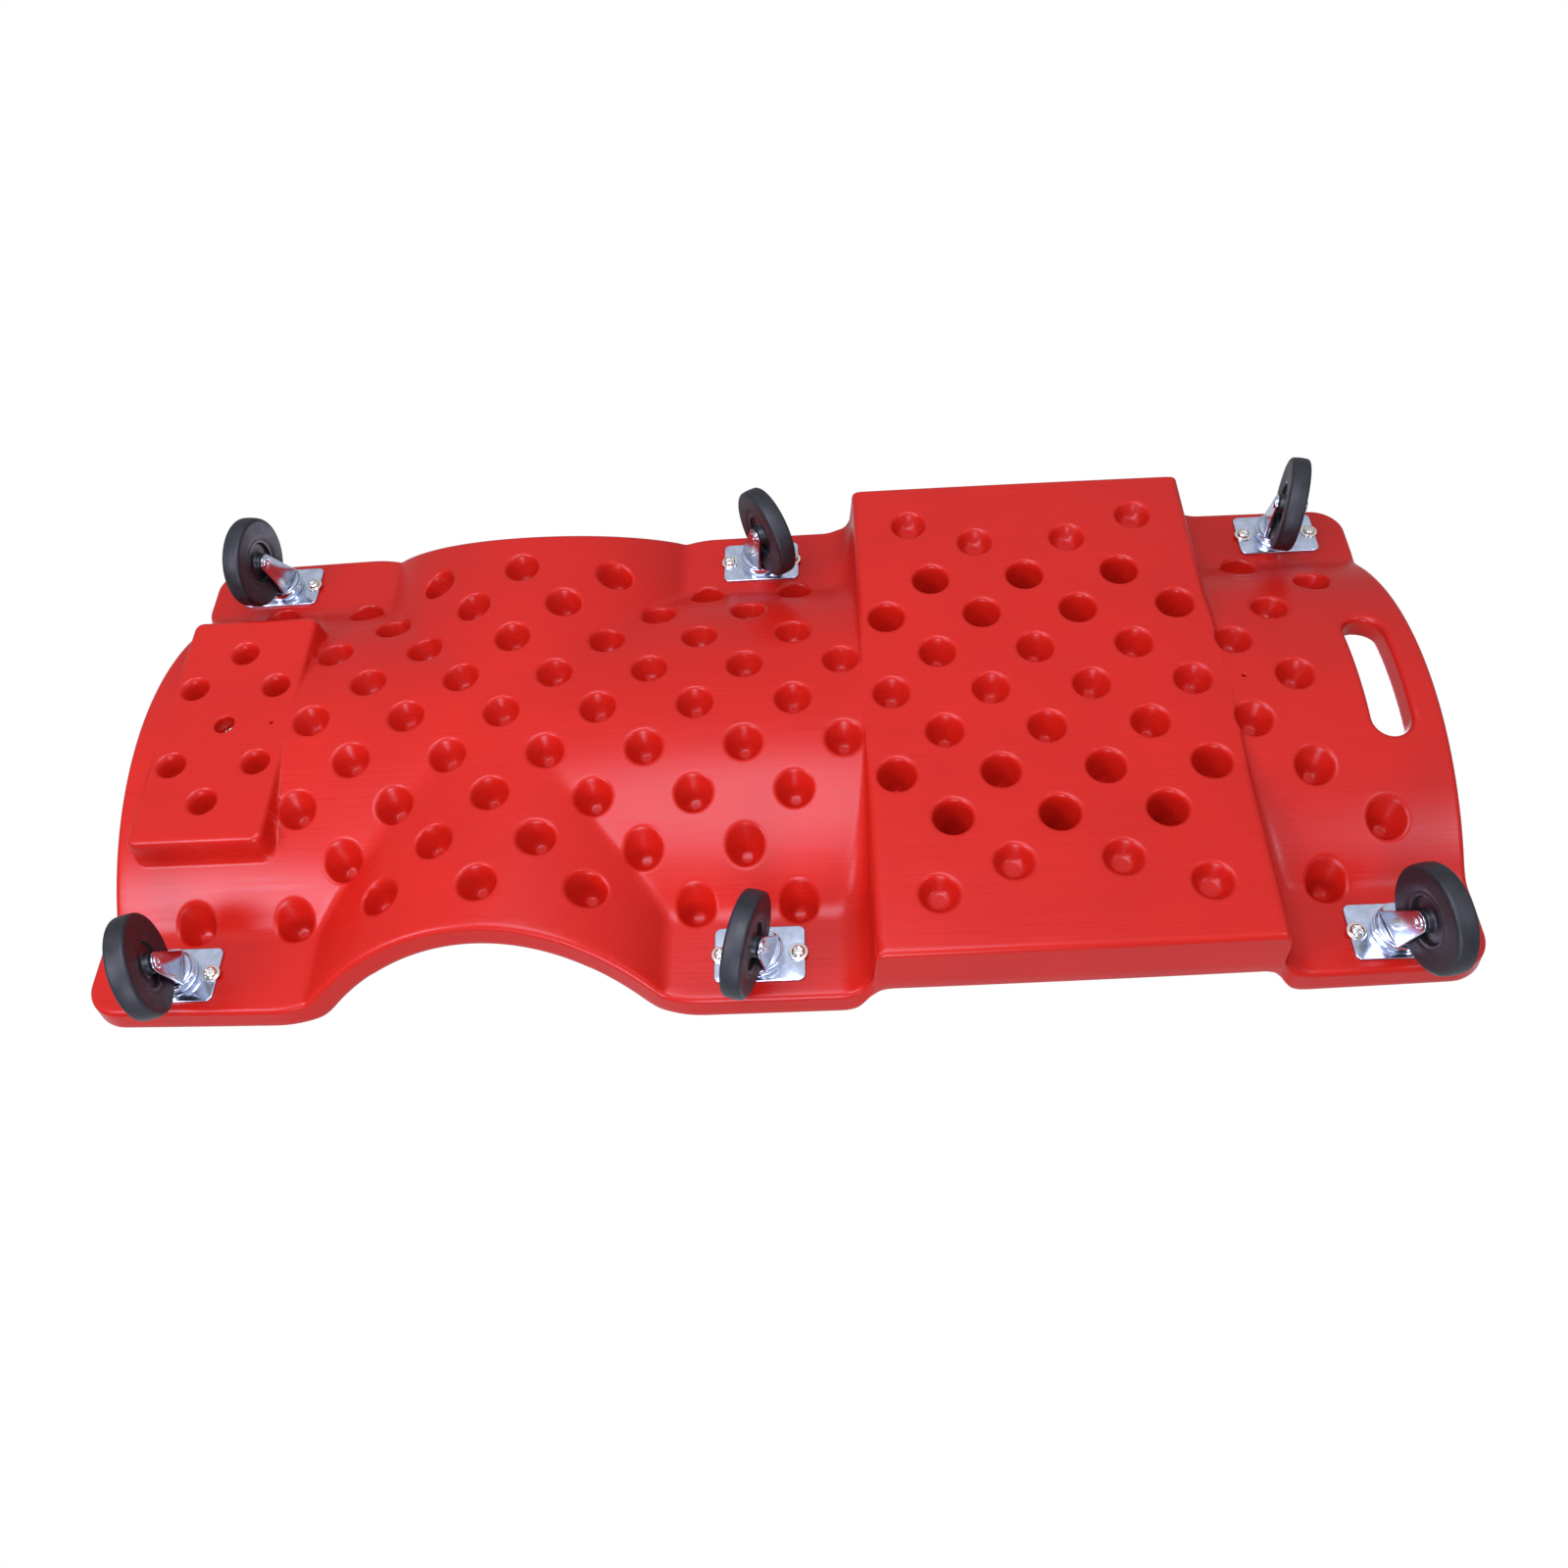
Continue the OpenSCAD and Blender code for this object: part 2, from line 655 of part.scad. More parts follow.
module tyre(i) {
    half = tyre_w / 2;
    outer = wheel_d / 2;
    inner = recess_r + core_rim_t;
    color("#2a2a33") at_axle(i) rotate_extrude($fn = fine) {
        translate([inner, -half]) square([outer - shoulder_r - inner, tyre_w]);
        translate([inner, -half + shoulder_r]) square([outer - inner, tyre_w - 2 * shoulder_r]);
        for (s = [-1, 1]) translate([outer - shoulder_r, s * (half - shoulder_r)]) circle(r = shoulder_r, $fn = 48);
    }
}

deck();
headrest_board();
headrest_cushion();
headrest_screw();
caster_screws();
caster_washers();
for (i = [0:5]) {
    caster_plate(i);
    swivel_balls(i);
    kingpin(i);
    fork(i);
    race_cover(i);
    axle(i);
    wheel_core(i);
    tyre(i);
}
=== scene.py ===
"""Mechanic's creeper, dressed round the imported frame.

The deck's skin, the casters, the fasteners and the headrest are surfaces worked out with numpy in
millimetres, in the frame's own axes: X towards the foot end, Y to the rider's left, Z up from the floor.
"""

import bmesh  # noqa: E402
import bpy  # noqa: E402
import numpy as np  # noqa: E402
from bpy.props import FloatProperty, FloatVectorProperty, PointerProperty  # noqa: E402
from mathutils import Matrix, Vector  # noqa: E402
from mathutils.bvhtree import BVHTree  # noqa: E402
from mathutils.geometry import delaunay_2d_cdt  # noqa: E402


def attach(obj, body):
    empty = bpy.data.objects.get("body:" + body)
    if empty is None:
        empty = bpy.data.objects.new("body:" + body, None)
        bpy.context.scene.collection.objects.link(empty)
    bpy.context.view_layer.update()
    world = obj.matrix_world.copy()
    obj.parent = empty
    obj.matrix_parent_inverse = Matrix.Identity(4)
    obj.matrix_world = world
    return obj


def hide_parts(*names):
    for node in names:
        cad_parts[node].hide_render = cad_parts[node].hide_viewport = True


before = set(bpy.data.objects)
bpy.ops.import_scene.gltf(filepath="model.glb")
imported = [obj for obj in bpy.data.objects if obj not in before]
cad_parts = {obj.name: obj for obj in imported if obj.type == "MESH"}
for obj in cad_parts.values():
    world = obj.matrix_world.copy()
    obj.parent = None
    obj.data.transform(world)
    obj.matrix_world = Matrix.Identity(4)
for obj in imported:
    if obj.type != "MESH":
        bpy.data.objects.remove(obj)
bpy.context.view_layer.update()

bl_info = {
    "name": "Mechanic's Creeper",
    "version": (1, 0, 0),
    "blender": (4, 5, 0),
    "location": "3D View > Sidebar > Creeper",
    "description": "Builds a blow-moulded creeper on six swivel casters, with its headrest and its stage",
    "category": "Object",
}

MM = 0.001
SPOTS = ["head_right", "head_left", "mid_right", "mid_left", "foot_right", "foot_left"]

# Every length is in millimetres. Heights: the pads' lower faces, the bed, the belly, the trays' rims, the headrest's
# seat and the trays' floors
PAD_Z, DECK_Z, BELLY_Z, RIM_Z, SEAT_Z, TRAY_Z = 92.0, 114.0, 38.5, 84.0, 80.5, 53.5
# The belly's radius and wall, then the arm dip's place, radius and wall, and the heights of both arcs' centres
BELLY_R, BED_T, ARM_X, ARM_R, DIP_T = 258.5, 20.0, -203.0, 190.0, 22.0
TROUGH_Z, DIP_Z = BELLY_Z + BELLY_R, BELLY_Z + ARM_R
# Plan: half length and width, bow of the sides, step between pads, each end at its pads and between them, scallops
HALF_L, HALF_W, BOW_R, RIM_STEP = 510.0, 229.0, 19000.0, 2.0
HEAD_ENDS, FOOT_ENDS = (505.0, 496.0), (509.0, 507.0)
PAD_CORNER_R = 28.0
SCALLOP_R, SCALLOP_Y, BLEND_R = 270.0, 192.0, 90.0
# Tray block with its hollows, trays, head block with the rings of points round it, the headrest's seat and screw
BLOCK_X, HOLLOW_R, PAD_END_R = (80.0, 356.0), 26.0, 20.0
TRAY_X, TRAY_Y, TRAY_CORNER_R = (92.0, 344.0), (125.0, 212.5), 14.0
HEAD_X, HEAD_FACE_Y, HEAD_CORNER_R, HEAD_SLOPE = (-475.0, -371.0), 108.5, 7.0, 7.0
HEAD_OFFSETS = np.array([-5.5, -3.9, -2.8, -1.8, -0.9, -0.2, 0.6, 1.6, 2.6, 3.6, 4.6, 6.0])
SEAT_X = (HEAD_X[0] - 14, HEAD_X[1] + 14)
SCREW_X, WELL_R, WELL_D = -424.0, 7.5, 14.0
# Dimples on a staggered lattice, vents on its middle line, dimples apart from it in lattice steps, and the hand slot
LATTICE, LATTICE_X0 = 38.0, -354.0
VENTS, VENT_R, VENT_D = (SCREW_X + LATTICE, BLOCK_X[1] + 12), 1.4, 5.0
DIMPLE_D, TIP_D, LAST_SHIFT, LIP_R, DIMPLE_BOW = 29.5, 8.0, 8.0, 4.0, 1.15
TRAY_DIMPLES = [(-2.43, 4.63), (-1.02, 4.02), (0.97, 4.02), (2.47, 4.58)]
HEAD_DIMPLES = [(-0.88, 0.98), (0, 1.9), (0.88, 0.98)]
SLOT_X, SLOT_L, SLOT_W = 468.0, 108.0, 27.0
# Casters: swivel axes and the directions in which the wheels trail, then sizes in a caster's own axes, where
# the swivel axis is at x = y = 0 and the wheel trails towards +X
SWIVELS = (97, 74, 60, 106, 105, 80)
CASTERS = {
    spot: (x, y, angle)
    for spot, (x, y), angle in zip(SPOTS, [(x, y) for x in (-438.0, -3.0, 446.0) for y in (-192.0, 192.0)], SWIVELS)
}
# Plate, swivel head, fork, wheel, kingpin with its dome, and the screws with their washers
PLATE_L, PLATE_W, PLATE_T, PLATE_R, SCREW_GAP = 66.0, 43.0, 2.5, 5.0, 56.0
CROWN_Z, COVER_Z, COVER_R = 82.6, 88.9, 18.0
FORK_T, BEND_R, LEG_IN, TIP_R, BLANK_R = 2.2, 6.0, 9.7, 7.5, 15.5
TRAIL, AXLE_Z, AXLE_R, WHEEL_R, TYRE_W, RECESS_R = 18.0, 38.0, 3.0, 38.0, 15.0, 17.0
KINGPIN_R, DOME_R, DOME_H, DOME_Z = 4.0, 7.08, 4.0, 80.1
WASHER_R, WASHER_T, SCREW_L = 7.0, 1.2, 17.7
# The fork's flat blank, from its middle: where its bend starts, where its leg starts, and the axle
BLANK_FLAT = LEG_IN + FORK_T - BEND_R
BLANK_LEG = BLANK_FLAT + BEND_R * np.pi / 2
BLANK_TIP = BLANK_LEG + CROWN_Z - BEND_R - AXLE_Z
# Headrest: its board and its cushion
BOARD_T, CUSHION_L, CUSHION_W, CUSHION_H = 4.0, 96.0, 186.0, 32.0
BOARD_TOP = SEAT_Z + BOARD_T


def linear(hex_colour):
    """A colour such as #d6332e, as linear red, green and blue."""
    c = np.array([int(hex_colour[i : i + 2], 16) for i in (1, 3, 5)]) / 255
    return tuple(np.where(c <= 0.04045, c / 12.92, ((c + 0.055) / 1.055) ** 2.4).tolist())


class CreeperDeckSettings(bpy.types.PropertyGroup):
    """Sizes and colours of the moulded deck."""

    colour: FloatVectorProperty(
        name="Deck colour", description="Colour of the polyethylene", subtype="COLOR", default=linear("#b1160c")
    )
    lower_radius: FloatProperty(
        name="Lower edge", description="Radius of the deck's lower edge", unit="LENGTH", default=5 * MM
    )
    upper_radius: FloatProperty(
        name="Upper edge", description="Radius of the deck's upper edge", unit="LENGTH", default=4 * MM
    )
    grid: FloatProperty(
        name="Grid", description="Spacing of the skin's points away from its details", unit="LENGTH", default=5.5 * MM
    )


class CreeperHeadrestSettings(bpy.types.PropertyGroup):
    """How the headrest's cover is blown up."""

    pressure: FloatProperty(name="Pressure", description="Pressure under the cover as it is blown up", default=4.0)
    swell: FloatProperty(
        name="Swell", description="Most that a point of the cover may move", unit="LENGTH", default=5 * MM
    )


class CreeperStageSettings(bpy.types.PropertyGroup):
    """Camera, light and floor."""

    lens: FloatProperty(name="Lens", description="Focal length", unit="CAMERA", default=28.81)
    under_light: FloatProperty(
        name="Lamp below", description="Strength of the lamp that lights the underside", unit="POWER", default=14
    )
    over_light: FloatProperty(
        name="Lamp above", description="Strength of the lamp that lights the bed", unit="POWER", default=30
    )
    side_light: FloatProperty(
        name="Side lamp", description="Strength of the lamp past the head end", unit="POWER", default=15
    )
    foot_light: FloatProperty(
        name="Foot lamp", description="Strength of the small lamp past the foot end", unit="POWER", default=4
    )
    front_light: FloatProperty(
        name="Front lamp", description="Strength of the low lamp at the deck's left side", unit="POWER", default=15
    )
    nadir: FloatProperty(name="Nadir", description="Strength of the surroundings straight down", default=1.05)
    zenith: FloatProperty(name="Zenith", description="Strength of the surroundings straight up", default=0.95)
    horizon: FloatProperty(name="Horizon", description="Strength of the surroundings at eye level", default=0.3)


# --- shapes ---


def smooth_min(a, b, k):
    """The lesser of two heights, its crease rounded over a difference of k between them."""
    h = np.maximum(k - np.abs(a - b), 0) / k
    return np.minimum(a, b) - h * h * k / 4


def smooth_max(a, b, k):
    """The greater of two heights, its crease rounded the same way."""
    return -smooth_min(-a, -b, k)


def smooth_step(t):
    """A cubic step: 3t2 - 2t3 between 0 and 1."""
    t = np.clip(t, 0, 1)
    return t * t * (3 - 2 * t)


def round_corner(d, r, m):
    """Rise over a plane at plan distance d past the line where a wall of slope m starts, with a round corner of
    radius r: zero, then r - sqrt(r2 - s2) along the arc, then m times d."""
    r = np.maximum(r, 1e-6)
    angle = np.arctan(m)
    s = d + r * np.tan(angle / 2)
    reach = r * np.sin(angle)
    arc = r - np.sqrt(r * r - np.clip(s, 0, reach) ** 2)
    return np.where(s > reach, m * d, arc)


def wall(d, h, m, r_low, r_high):
    """Rise of a wall of height h and slope m, at plan distance d past its foot, with both corners round.
    The upper half is the lower one's formula measured down from the top."""
    h = np.maximum(h, 0)
    low = round_corner(d, np.minimum(r_low, h / 2), m)
    high = h - round_corner(h / m - d, np.minimum(r_high, h / 2), m)
    return np.where(d < h / (2 * m), low, high)


def rect_distance(x, y, x0, x1, y0, y1, r):
    """Signed plan distance from a rectangle with corners of radius r, negative inside."""
    qx = np.abs(x - (x0 + x1) / 2) - (x1 - x0) / 2 + r
    qy = np.abs(y - (y0 + y1) / 2) - (y1 - y0) / 2 + r
    return np.hypot(np.maximum(qx, 0), np.maximum(qy, 0)) + np.minimum(np.maximum(qx, qy), 0) - r


def vault(x, y, level, trough_r, dip_r, k):
    """Least of a level, an arc across the deck and an arc along it: centre height minus sqrt(r2 - distance2)."""
    across = TROUGH_Z - np.sqrt(np.maximum(trough_r**2 - y * y, 0))
    along = DIP_Z - np.sqrt(np.maximum(dip_r**2 - (x - ARM_X) ** 2, 0))
    return smooth_min(smooth_min(np.full_like(x, level), across, 2 * k), along, k)


def plain_underside(x, y):
    """Height of the underside without its dimples: the vault, with the tray block and the head block in front of it."""
    z = vault(x, y, PAD_Z, BELLY_R, ARM_R, 2.5)
    head = rect_distance(x, y, *HEAD_X, -HEAD_FACE_Y, HEAD_FACE_Y, HEAD_CORNER_R)
    z = smooth_min(z, BELLY_Z + round_corner(head, 5.0, HEAD_SLOPE), 3)
    d = np.maximum(BLOCK_X[0] - x, x - BLOCK_X[1])
    hollow = HOLLOW_R + 16 * smooth_step((np.abs(y) - 150) / 60)
    return np.minimum(z, BELLY_Z + wall(d, z - BELLY_Z, 14.0, 7, hollow))


def plain_bed(x, y):
    """Height of the bed: the inner vault, the headrest's seat, the drop to the trays' rims and the trays."""
    z = vault(x, y, DECK_Z, BELLY_R - BED_T, ARM_R - DIP_T, 8)
    seat = rect_distance(x, y, *SEAT_X, -300, 300, 10)
    z = smooth_max(z, SEAT_Z - wall(seat, SEAT_Z - z, 5.0, 5, 5) * (z < SEAT_Z), 3)
    over = rect_distance(x, np.abs(y), BLOCK_X[0] + 4, BLOCK_X[1] - 4, TRAY_Y[0], 400, 8)
    edge = smooth_step((np.abs(y) - 170) / 45)
    z = np.minimum(z, RIM_Z + wall(over, z - RIM_Z, 7 - 5.6 * edge, 4 + 9 * edge, 5 + 9 * edge))
    tray = rect_distance(x, np.abs(y), *TRAY_X, *TRAY_Y, TRAY_CORNER_R)
    return np.minimum(z, TRAY_Z + wall(tray, z - TRAY_Z, 9.0, 5, 3))


def dimple_list():
    """Every dimple as (x, y, mouth height, tip height, mouth diameter, tip diameter)."""
    c, r = np.meshgrid(np.arange(-2, 22), np.arange(-4, 5), indexing="ij")
    row = np.abs(r)
    skip = (row == 3) & ((c == 11) | (c == 19)) | (row == 4) & (c > 11) & (c < 19) | (row < 4) & (c < 0)
    keep = ((c + r) % 2 == 0) & ~skip & ~((row == 1) & (c == 21))
    x, y = LATTICE_X0 + c[keep] * LATTICE + LAST_SHIFT * ((row == 3) & (c == 21))[keep], r[keep] * LATTICE
    low = plain_underside(x, y)
    high = vault(x, y, DECK_Z, BELLY_R - BED_T, ARM_R - DIP_T, 8)
    in_block = (x > BLOCK_X[0]) & (x < BLOCK_X[1])
    high = np.where(in_block, np.minimum(high, RIM_Z), high) - 2.5
    lattice = np.stack([x, y, low, high, np.full_like(x, DIMPLE_D), np.full_like(x, TIP_D)], -1)
    middle = (BLOCK_X[0] + BLOCK_X[1]) / 2
    apart = [
        (middle + u * LATTICE, s * v * LATTICE, BELLY_Z, TRAY_Z - 2.5, DIMPLE_D, 14.0)
        for s in (-1, 1)
        for u, v in TRAY_DIMPLES
    ] + [
        (SCREW_X + u * LATTICE, s * v * LATTICE, BELLY_Z, BELLY_Z + 21, 22.0, TIP_D)
        for s in (-1, 1)
        for u, v in HEAD_DIMPLES
    ]
    return np.concatenate([lattice, np.array(apart)])


def nearest(points, spots):
    """For each point, its distance from the nearest of some spots, and which one that is."""
    gap = np.hypot(points[:, None, 0] - spots[None, :, 0], points[:, None, 1] - spots[None, :, 1])
    which = gap.argmin(1)
    return gap[np.arange(len(points)), which], which


def underside(points, dimples):
    """Height of the underside: a dimple is a cone with a round lip and a flat tip, bowed so that at a share t of the
    plain cone's depth it is 1 - (1 - t)^p deep; the screw's well and the vents are round holes."""
    x, y = points[:, 0], points[:, 1]
    z = plain_underside(x, y)
    r, k = nearest(points, dimples)
    mouth, tip, mouth_r, tip_r = dimples[k, 2], dimples[k, 3], dimples[k, 4] / 2, dimples[k, 5] / 2
    depth = tip - mouth
    share = np.clip(round_corner(mouth_r - r, LIP_R, depth / (mouth_r - tip_r)) / depth, 0, 1)
    z = np.where(r < mouth_r + LIP_R, smooth_min(z + depth * (1 - (1 - share) ** DIMPLE_BOW), tip, 1.5), z)
    z = np.maximum(z, BELLY_Z + WELL_D - wall(np.hypot(x - SCREW_X, y) - WELL_R, WELL_D, 30.0, 0.6, 1.0))
    for vent_x in VENTS:
        r = np.hypot(x - vent_x, y)
        z = np.where(r < 4, np.maximum(z, BELLY_Z + VENT_D - wall(r - VENT_R, VENT_D, 20.0, 0.3, 0.6)), z)
    return z


def bed(points, dimples):
    """Height of the bed with the shallow round marks where the dimples' tips are welded to it."""
    r, _ = nearest(points, dimples)
    return plain_bed(points[:, 0], points[:, 1]) - 0.5 * smooth_step((6.5 - r) / 2.0)


def arc(cx, cy, r, a0, a1, step=3.0):
    """Points of an arc from angle a0 to a1 in degrees, without its end."""
    n = max(3, int(abs(np.radians(a1 - a0)) * r / step))
    a = np.radians(np.linspace(a0, a1, n, endpoint=False))
    return np.stack([cx + r * np.cos(a), cy + r * np.sin(a)], -1)


def side_y(x):
    """Half width of the deck along its side: a quarter circle ends each pad where it stands out past the tray block."""
    past = np.maximum(np.minimum(x - BLOCK_X[0], BLOCK_X[1] - x) + PAD_END_R - 4, 0)
    pad = HALF_W - PAD_END_R + np.sqrt(np.maximum(PAD_END_R**2 - past**2, 0))
    return smooth_max(pad, np.full_like(x, HALF_W - RIM_STEP), 1.5)


def end_x(y, ends):
    """Distance of an end from the deck's middle, where its pads stand out from the rest."""
    at_pads, between = ends
    return between + (at_pads - between) * smooth_step((np.abs(y) - 146) / 28)


def outline():
    """The deck's plan, counterclockwise: ends, pad corners, sides and the two arm scallops as arcs and cubic steps. The
    sides bow: the half width shrinks by x2 / 2R."""
    foot_x, head_x, corner_y = FOOT_ENDS[0] - PAD_CORNER_R, PAD_CORNER_R - HEAD_ENDS[0], HALF_W - PAD_CORNER_R
    cy = SCALLOP_Y + SCALLOP_R
    dx = np.sqrt((SCALLOP_R + BLEND_R) ** 2 - (cy - HALF_W + BLEND_R) ** 2)
    lean = np.degrees(np.arctan2(cy - HALF_W + BLEND_R, dx))
    y = np.arange(0, corner_y, 4.0)
    ends = (foot_x, BLOCK_X[1] + 18, BLOCK_X[1] - 4, BLOCK_X[0] + 4, BLOCK_X[0] - 18, ARM_X + dx)
    side = np.concatenate([np.arange(*span) for span in zip(ends, ends[1:], (-4.0, -0.9, -5.0, -0.9, -4.0))])
    head_side = np.arange(ARM_X - dx, head_x, -4.0)
    half = np.concatenate(
        [
            np.stack([end_x(y, FOOT_ENDS), y], -1),
            arc(foot_x, corner_y, PAD_CORNER_R, 0, 90),
            np.stack([side, side_y(side)], -1),
            arc(ARM_X + dx, HALF_W - BLEND_R, BLEND_R, 90, 180 - lean),
            arc(ARM_X, cy, SCALLOP_R, 360 - lean, 180 + lean),
            arc(ARM_X - dx, HALF_W - BLEND_R, BLEND_R, lean, 90),
            np.stack([head_side, HALF_W + 0 * head_side], -1),
            arc(head_x, corner_y, PAD_CORNER_R, 90, 180),
            np.stack([-end_x(corner_y - y, HEAD_ENDS), corner_y - y], -1),
        ]
    )
    half[:, 1] *= 1 - half[:, 0] ** 2 / (2 * BOW_R * HALF_W)
    back = half[half[:, 1] > 0.5][::-1] * [1, -1]
    return np.concatenate([half[:1], half[half[:, 1] > 0.5], [[-HEAD_ENDS[1], 0]], back])


def normals_of(loop):
    """Outward plan normals of a counterclockwise loop, from the chord between each point's neighbours."""
    t = np.roll(loop, -1, 0) - np.roll(loop, 1, 0)
    t /= np.linalg.norm(t, axis=1, keepdims=True)
    return np.stack([t[:, 1], -t[:, 0]], -1)


def slot_loop():
    """The hand slot as a counterclockwise loop: two half circles and two straights."""
    half = (SLOT_L - SLOT_W) / 2
    y = np.arange(-half, half, 4.0)
    r = np.full_like(y, SLOT_W / 2)
    return np.concatenate(
        [
            np.stack([SLOT_X + r, y], -1),
            arc(SLOT_X, half, SLOT_W / 2, 0, 180, 2.0),
            np.stack([SLOT_X - r, -y], -1),
            arc(SLOT_X, -half, SLOT_W / 2, 180, 360, 2.0),
        ]
    )


def inside(points, loop):
    """Whether each point is inside a loop, by counting the edges that a ray towards +X crosses."""
    a, b = loop, np.roll(loop, -1, 0)
    run = (b[:, 0] - a[:, 0]) / np.where(b[:, 1] == a[:, 1], 1e-9, b[:, 1] - a[:, 1])
    result = []
    for part in np.array_split(points, 24):
        x, y = part[:, :1], part[:, 1:2]
        crossed = ((a[:, 1] > y) != (b[:, 1] > y)) & (x < a[:, 0] + (y - a[:, 1]) * run)
        result.append(crossed.sum(1) % 2 == 1)
    return np.concatenate(result)


def free(points, loops, margin):
    """Those points that are inside the first loop, outside the second, and further than a margin from both."""
    near, _ = nearest(points, np.concatenate(loops))
    return points[inside(points, loops[0]) & ~inside(points, loops[1]) & (near > margin)]


def inwards(span, offsets):
    """Values at some offsets inwards from each end of a span."""
    return [value for end, sign in zip(span, (1, -1)) for value in end + sign * np.asarray(offsets)]


def crossings(xs, ys):
    """The points where lines at some x cross lines at some y."""
    return np.stack(np.meshgrid(xs, ys, indexing="ij"), -1).reshape(-1, 2)


def rings(spots, radii, count):
    """Concentric rings of points round each spot."""
    a = np.arange(count) * 2 * np.pi / count
    unit = np.stack([np.cos(a), np.sin(a)], -1)
    ring = (np.asarray(radii)[:, None, None] * unit[None]).reshape(-1, 2)
    return np.concatenate([(spots[:, None, :2] + ring[None]).reshape(-1, 2), spots[:, :2]])


def hex_grid(step):
    """Points of a triangular grid over the whole plan."""
    rise = 0.866  # of an equal-sided triangle whose side is 1
    i, j = np.meshgrid(
        np.arange(int(2 * HALF_L / step) + 2), np.arange(int(2 * HALF_W / step / rise) + 2), indexing="ij"
    )
    return np.stack([-HALF_L + (i + (j % 2) / 2) * step, -HALF_W + j * step * rise], -1).reshape(-1, 2)


def ring_round(x, half_y, r, off, step=3.0):
    """Points along a rectangle with round corners that is grown by an offset."""
    r = r + off
    x0, x1, y1 = x[0] - off, x[1] + off, half_y + off
    xs, ys = np.arange(x0 + r, x1 - r, step), np.arange(r - y1, y1 - r, step)
    straight = [(xs, s * y1 + 0 * xs) for s in (-1, 1)] + [(e + 0 * ys, ys) for e in (x0, x1)]
    turn = np.radians(np.arange(0, 91, 18.0))
    corner = [
        (e + f * r * np.cos(turn), g * (y1 - r + r * np.sin(turn)))
        for e, f in ((x0 + r, -1), (x1 - r, 1))
        for g in (-1, 1)
    ]
    return np.concatenate([np.stack(pair, -1) for pair in straight + corner])


def triangulate(points, loops):
    """Delaunay triangles of plan points between an outer loop and the holes, which are kept as edges."""
    at = np.cumsum([0] + [len(loop) for loop in loops])
    edges = np.concatenate(
        [np.stack([np.arange(a, b), np.roll(np.arange(a, b), -1)], -1) for a, b in zip(at[:-1], at[1:])]
    )
    everything = np.concatenate([*loops, points])
    verts, _, faces, _, _, _ = delaunay_2d_cdt(everything.tolist(), edges.tolist(), [], 0, 1e-6)
    verts, faces = np.array([tuple(v) for v in verts]), np.array(faces)
    middle = verts[faces].mean(1)
    keep = inside(middle, loops[0])
    for hole in loops[1:]:
        keep &= ~inside(middle, hole)
    return verts, faces[keep]


def skirt(loop, normals, low_z, high_z, low_r, high_r, draft):
    """The deck's edge: a profile of a quarter round, a drafted wall and a quarter round carried along a loop.
    Returns rows of points from the underside's border to the bed's."""
    a = np.linspace(0, np.pi / 2, 8)[:, None]
    low_in, low_up = draft + low_r * (1 - np.sin(a)), low_r * (1 - np.cos(a))
    b = np.linspace(0, np.pi / 2, 6)[:, None]
    high_in, high_down = high_r * (1 - np.cos(b)), high_r * (1 - np.sin(b))
    t = np.linspace(0, 1, 5)[1:-1, None]
    wall_z = (low_z + low_r) * (1 - t) + (high_z - high_r) * t
    inset = np.concatenate([low_in, draft * (1 - t), high_in + 0 * draft])
    z = np.concatenate([low_z + low_up, wall_z, high_z - high_down])
    xy = loop[None] - normals[None] * inset[..., None]
    return np.concatenate([xy, z[..., None]], -1)


def strip_faces(rows, count):
    """Quads between closed rows of points, as vertex numbers."""
    j, k = np.meshgrid(np.arange(rows - 1), np.arange(count), indexing="ij")
    a, b = j * count + k, j * count + (k + 1) % count
    return np.stack([a, b, b + count, a + count], -1).reshape(-1, 4)


def new_mesh(name, parts, merge=0.0):
    """A mesh object from (points in millimetres, faces) pairs, its normals made to face out."""
    points, faces, first = [], [], 0
    for verts, polys in parts:
        points.append(np.asarray(verts, float).reshape(-1, 3) * MM)
        faces += (np.asarray(polys) + first).tolist()
        first += len(points[-1])
    mesh = bpy.data.meshes.new(name)
    mesh.from_pydata(np.concatenate(points).tolist(), [], faces)
    bm = bmesh.new()
    bm.from_mesh(mesh)
    if merge:
        bmesh.ops.remove_doubles(bm, verts=bm.verts, dist=merge * MM)
        bmesh.ops.delete(bm, geom=[e for e in bm.edges if not e.link_faces], context="EDGES")
    bmesh.ops.recalc_face_normals(bm, faces=bm.faces)
    open_edges = sum(len(e.link_faces) != 2 for e in bm.edges)
    bm.to_mesh(mesh)
    bm.free()
    mesh.update()
    if open_edges:
        raise RuntimeError(f"{name} has {open_edges} open edges")
    mesh.shade_smooth()
    piece = bpy.data.objects.new(name, mesh)
    bpy.context.scene.collection.objects.link(piece)
    return piece


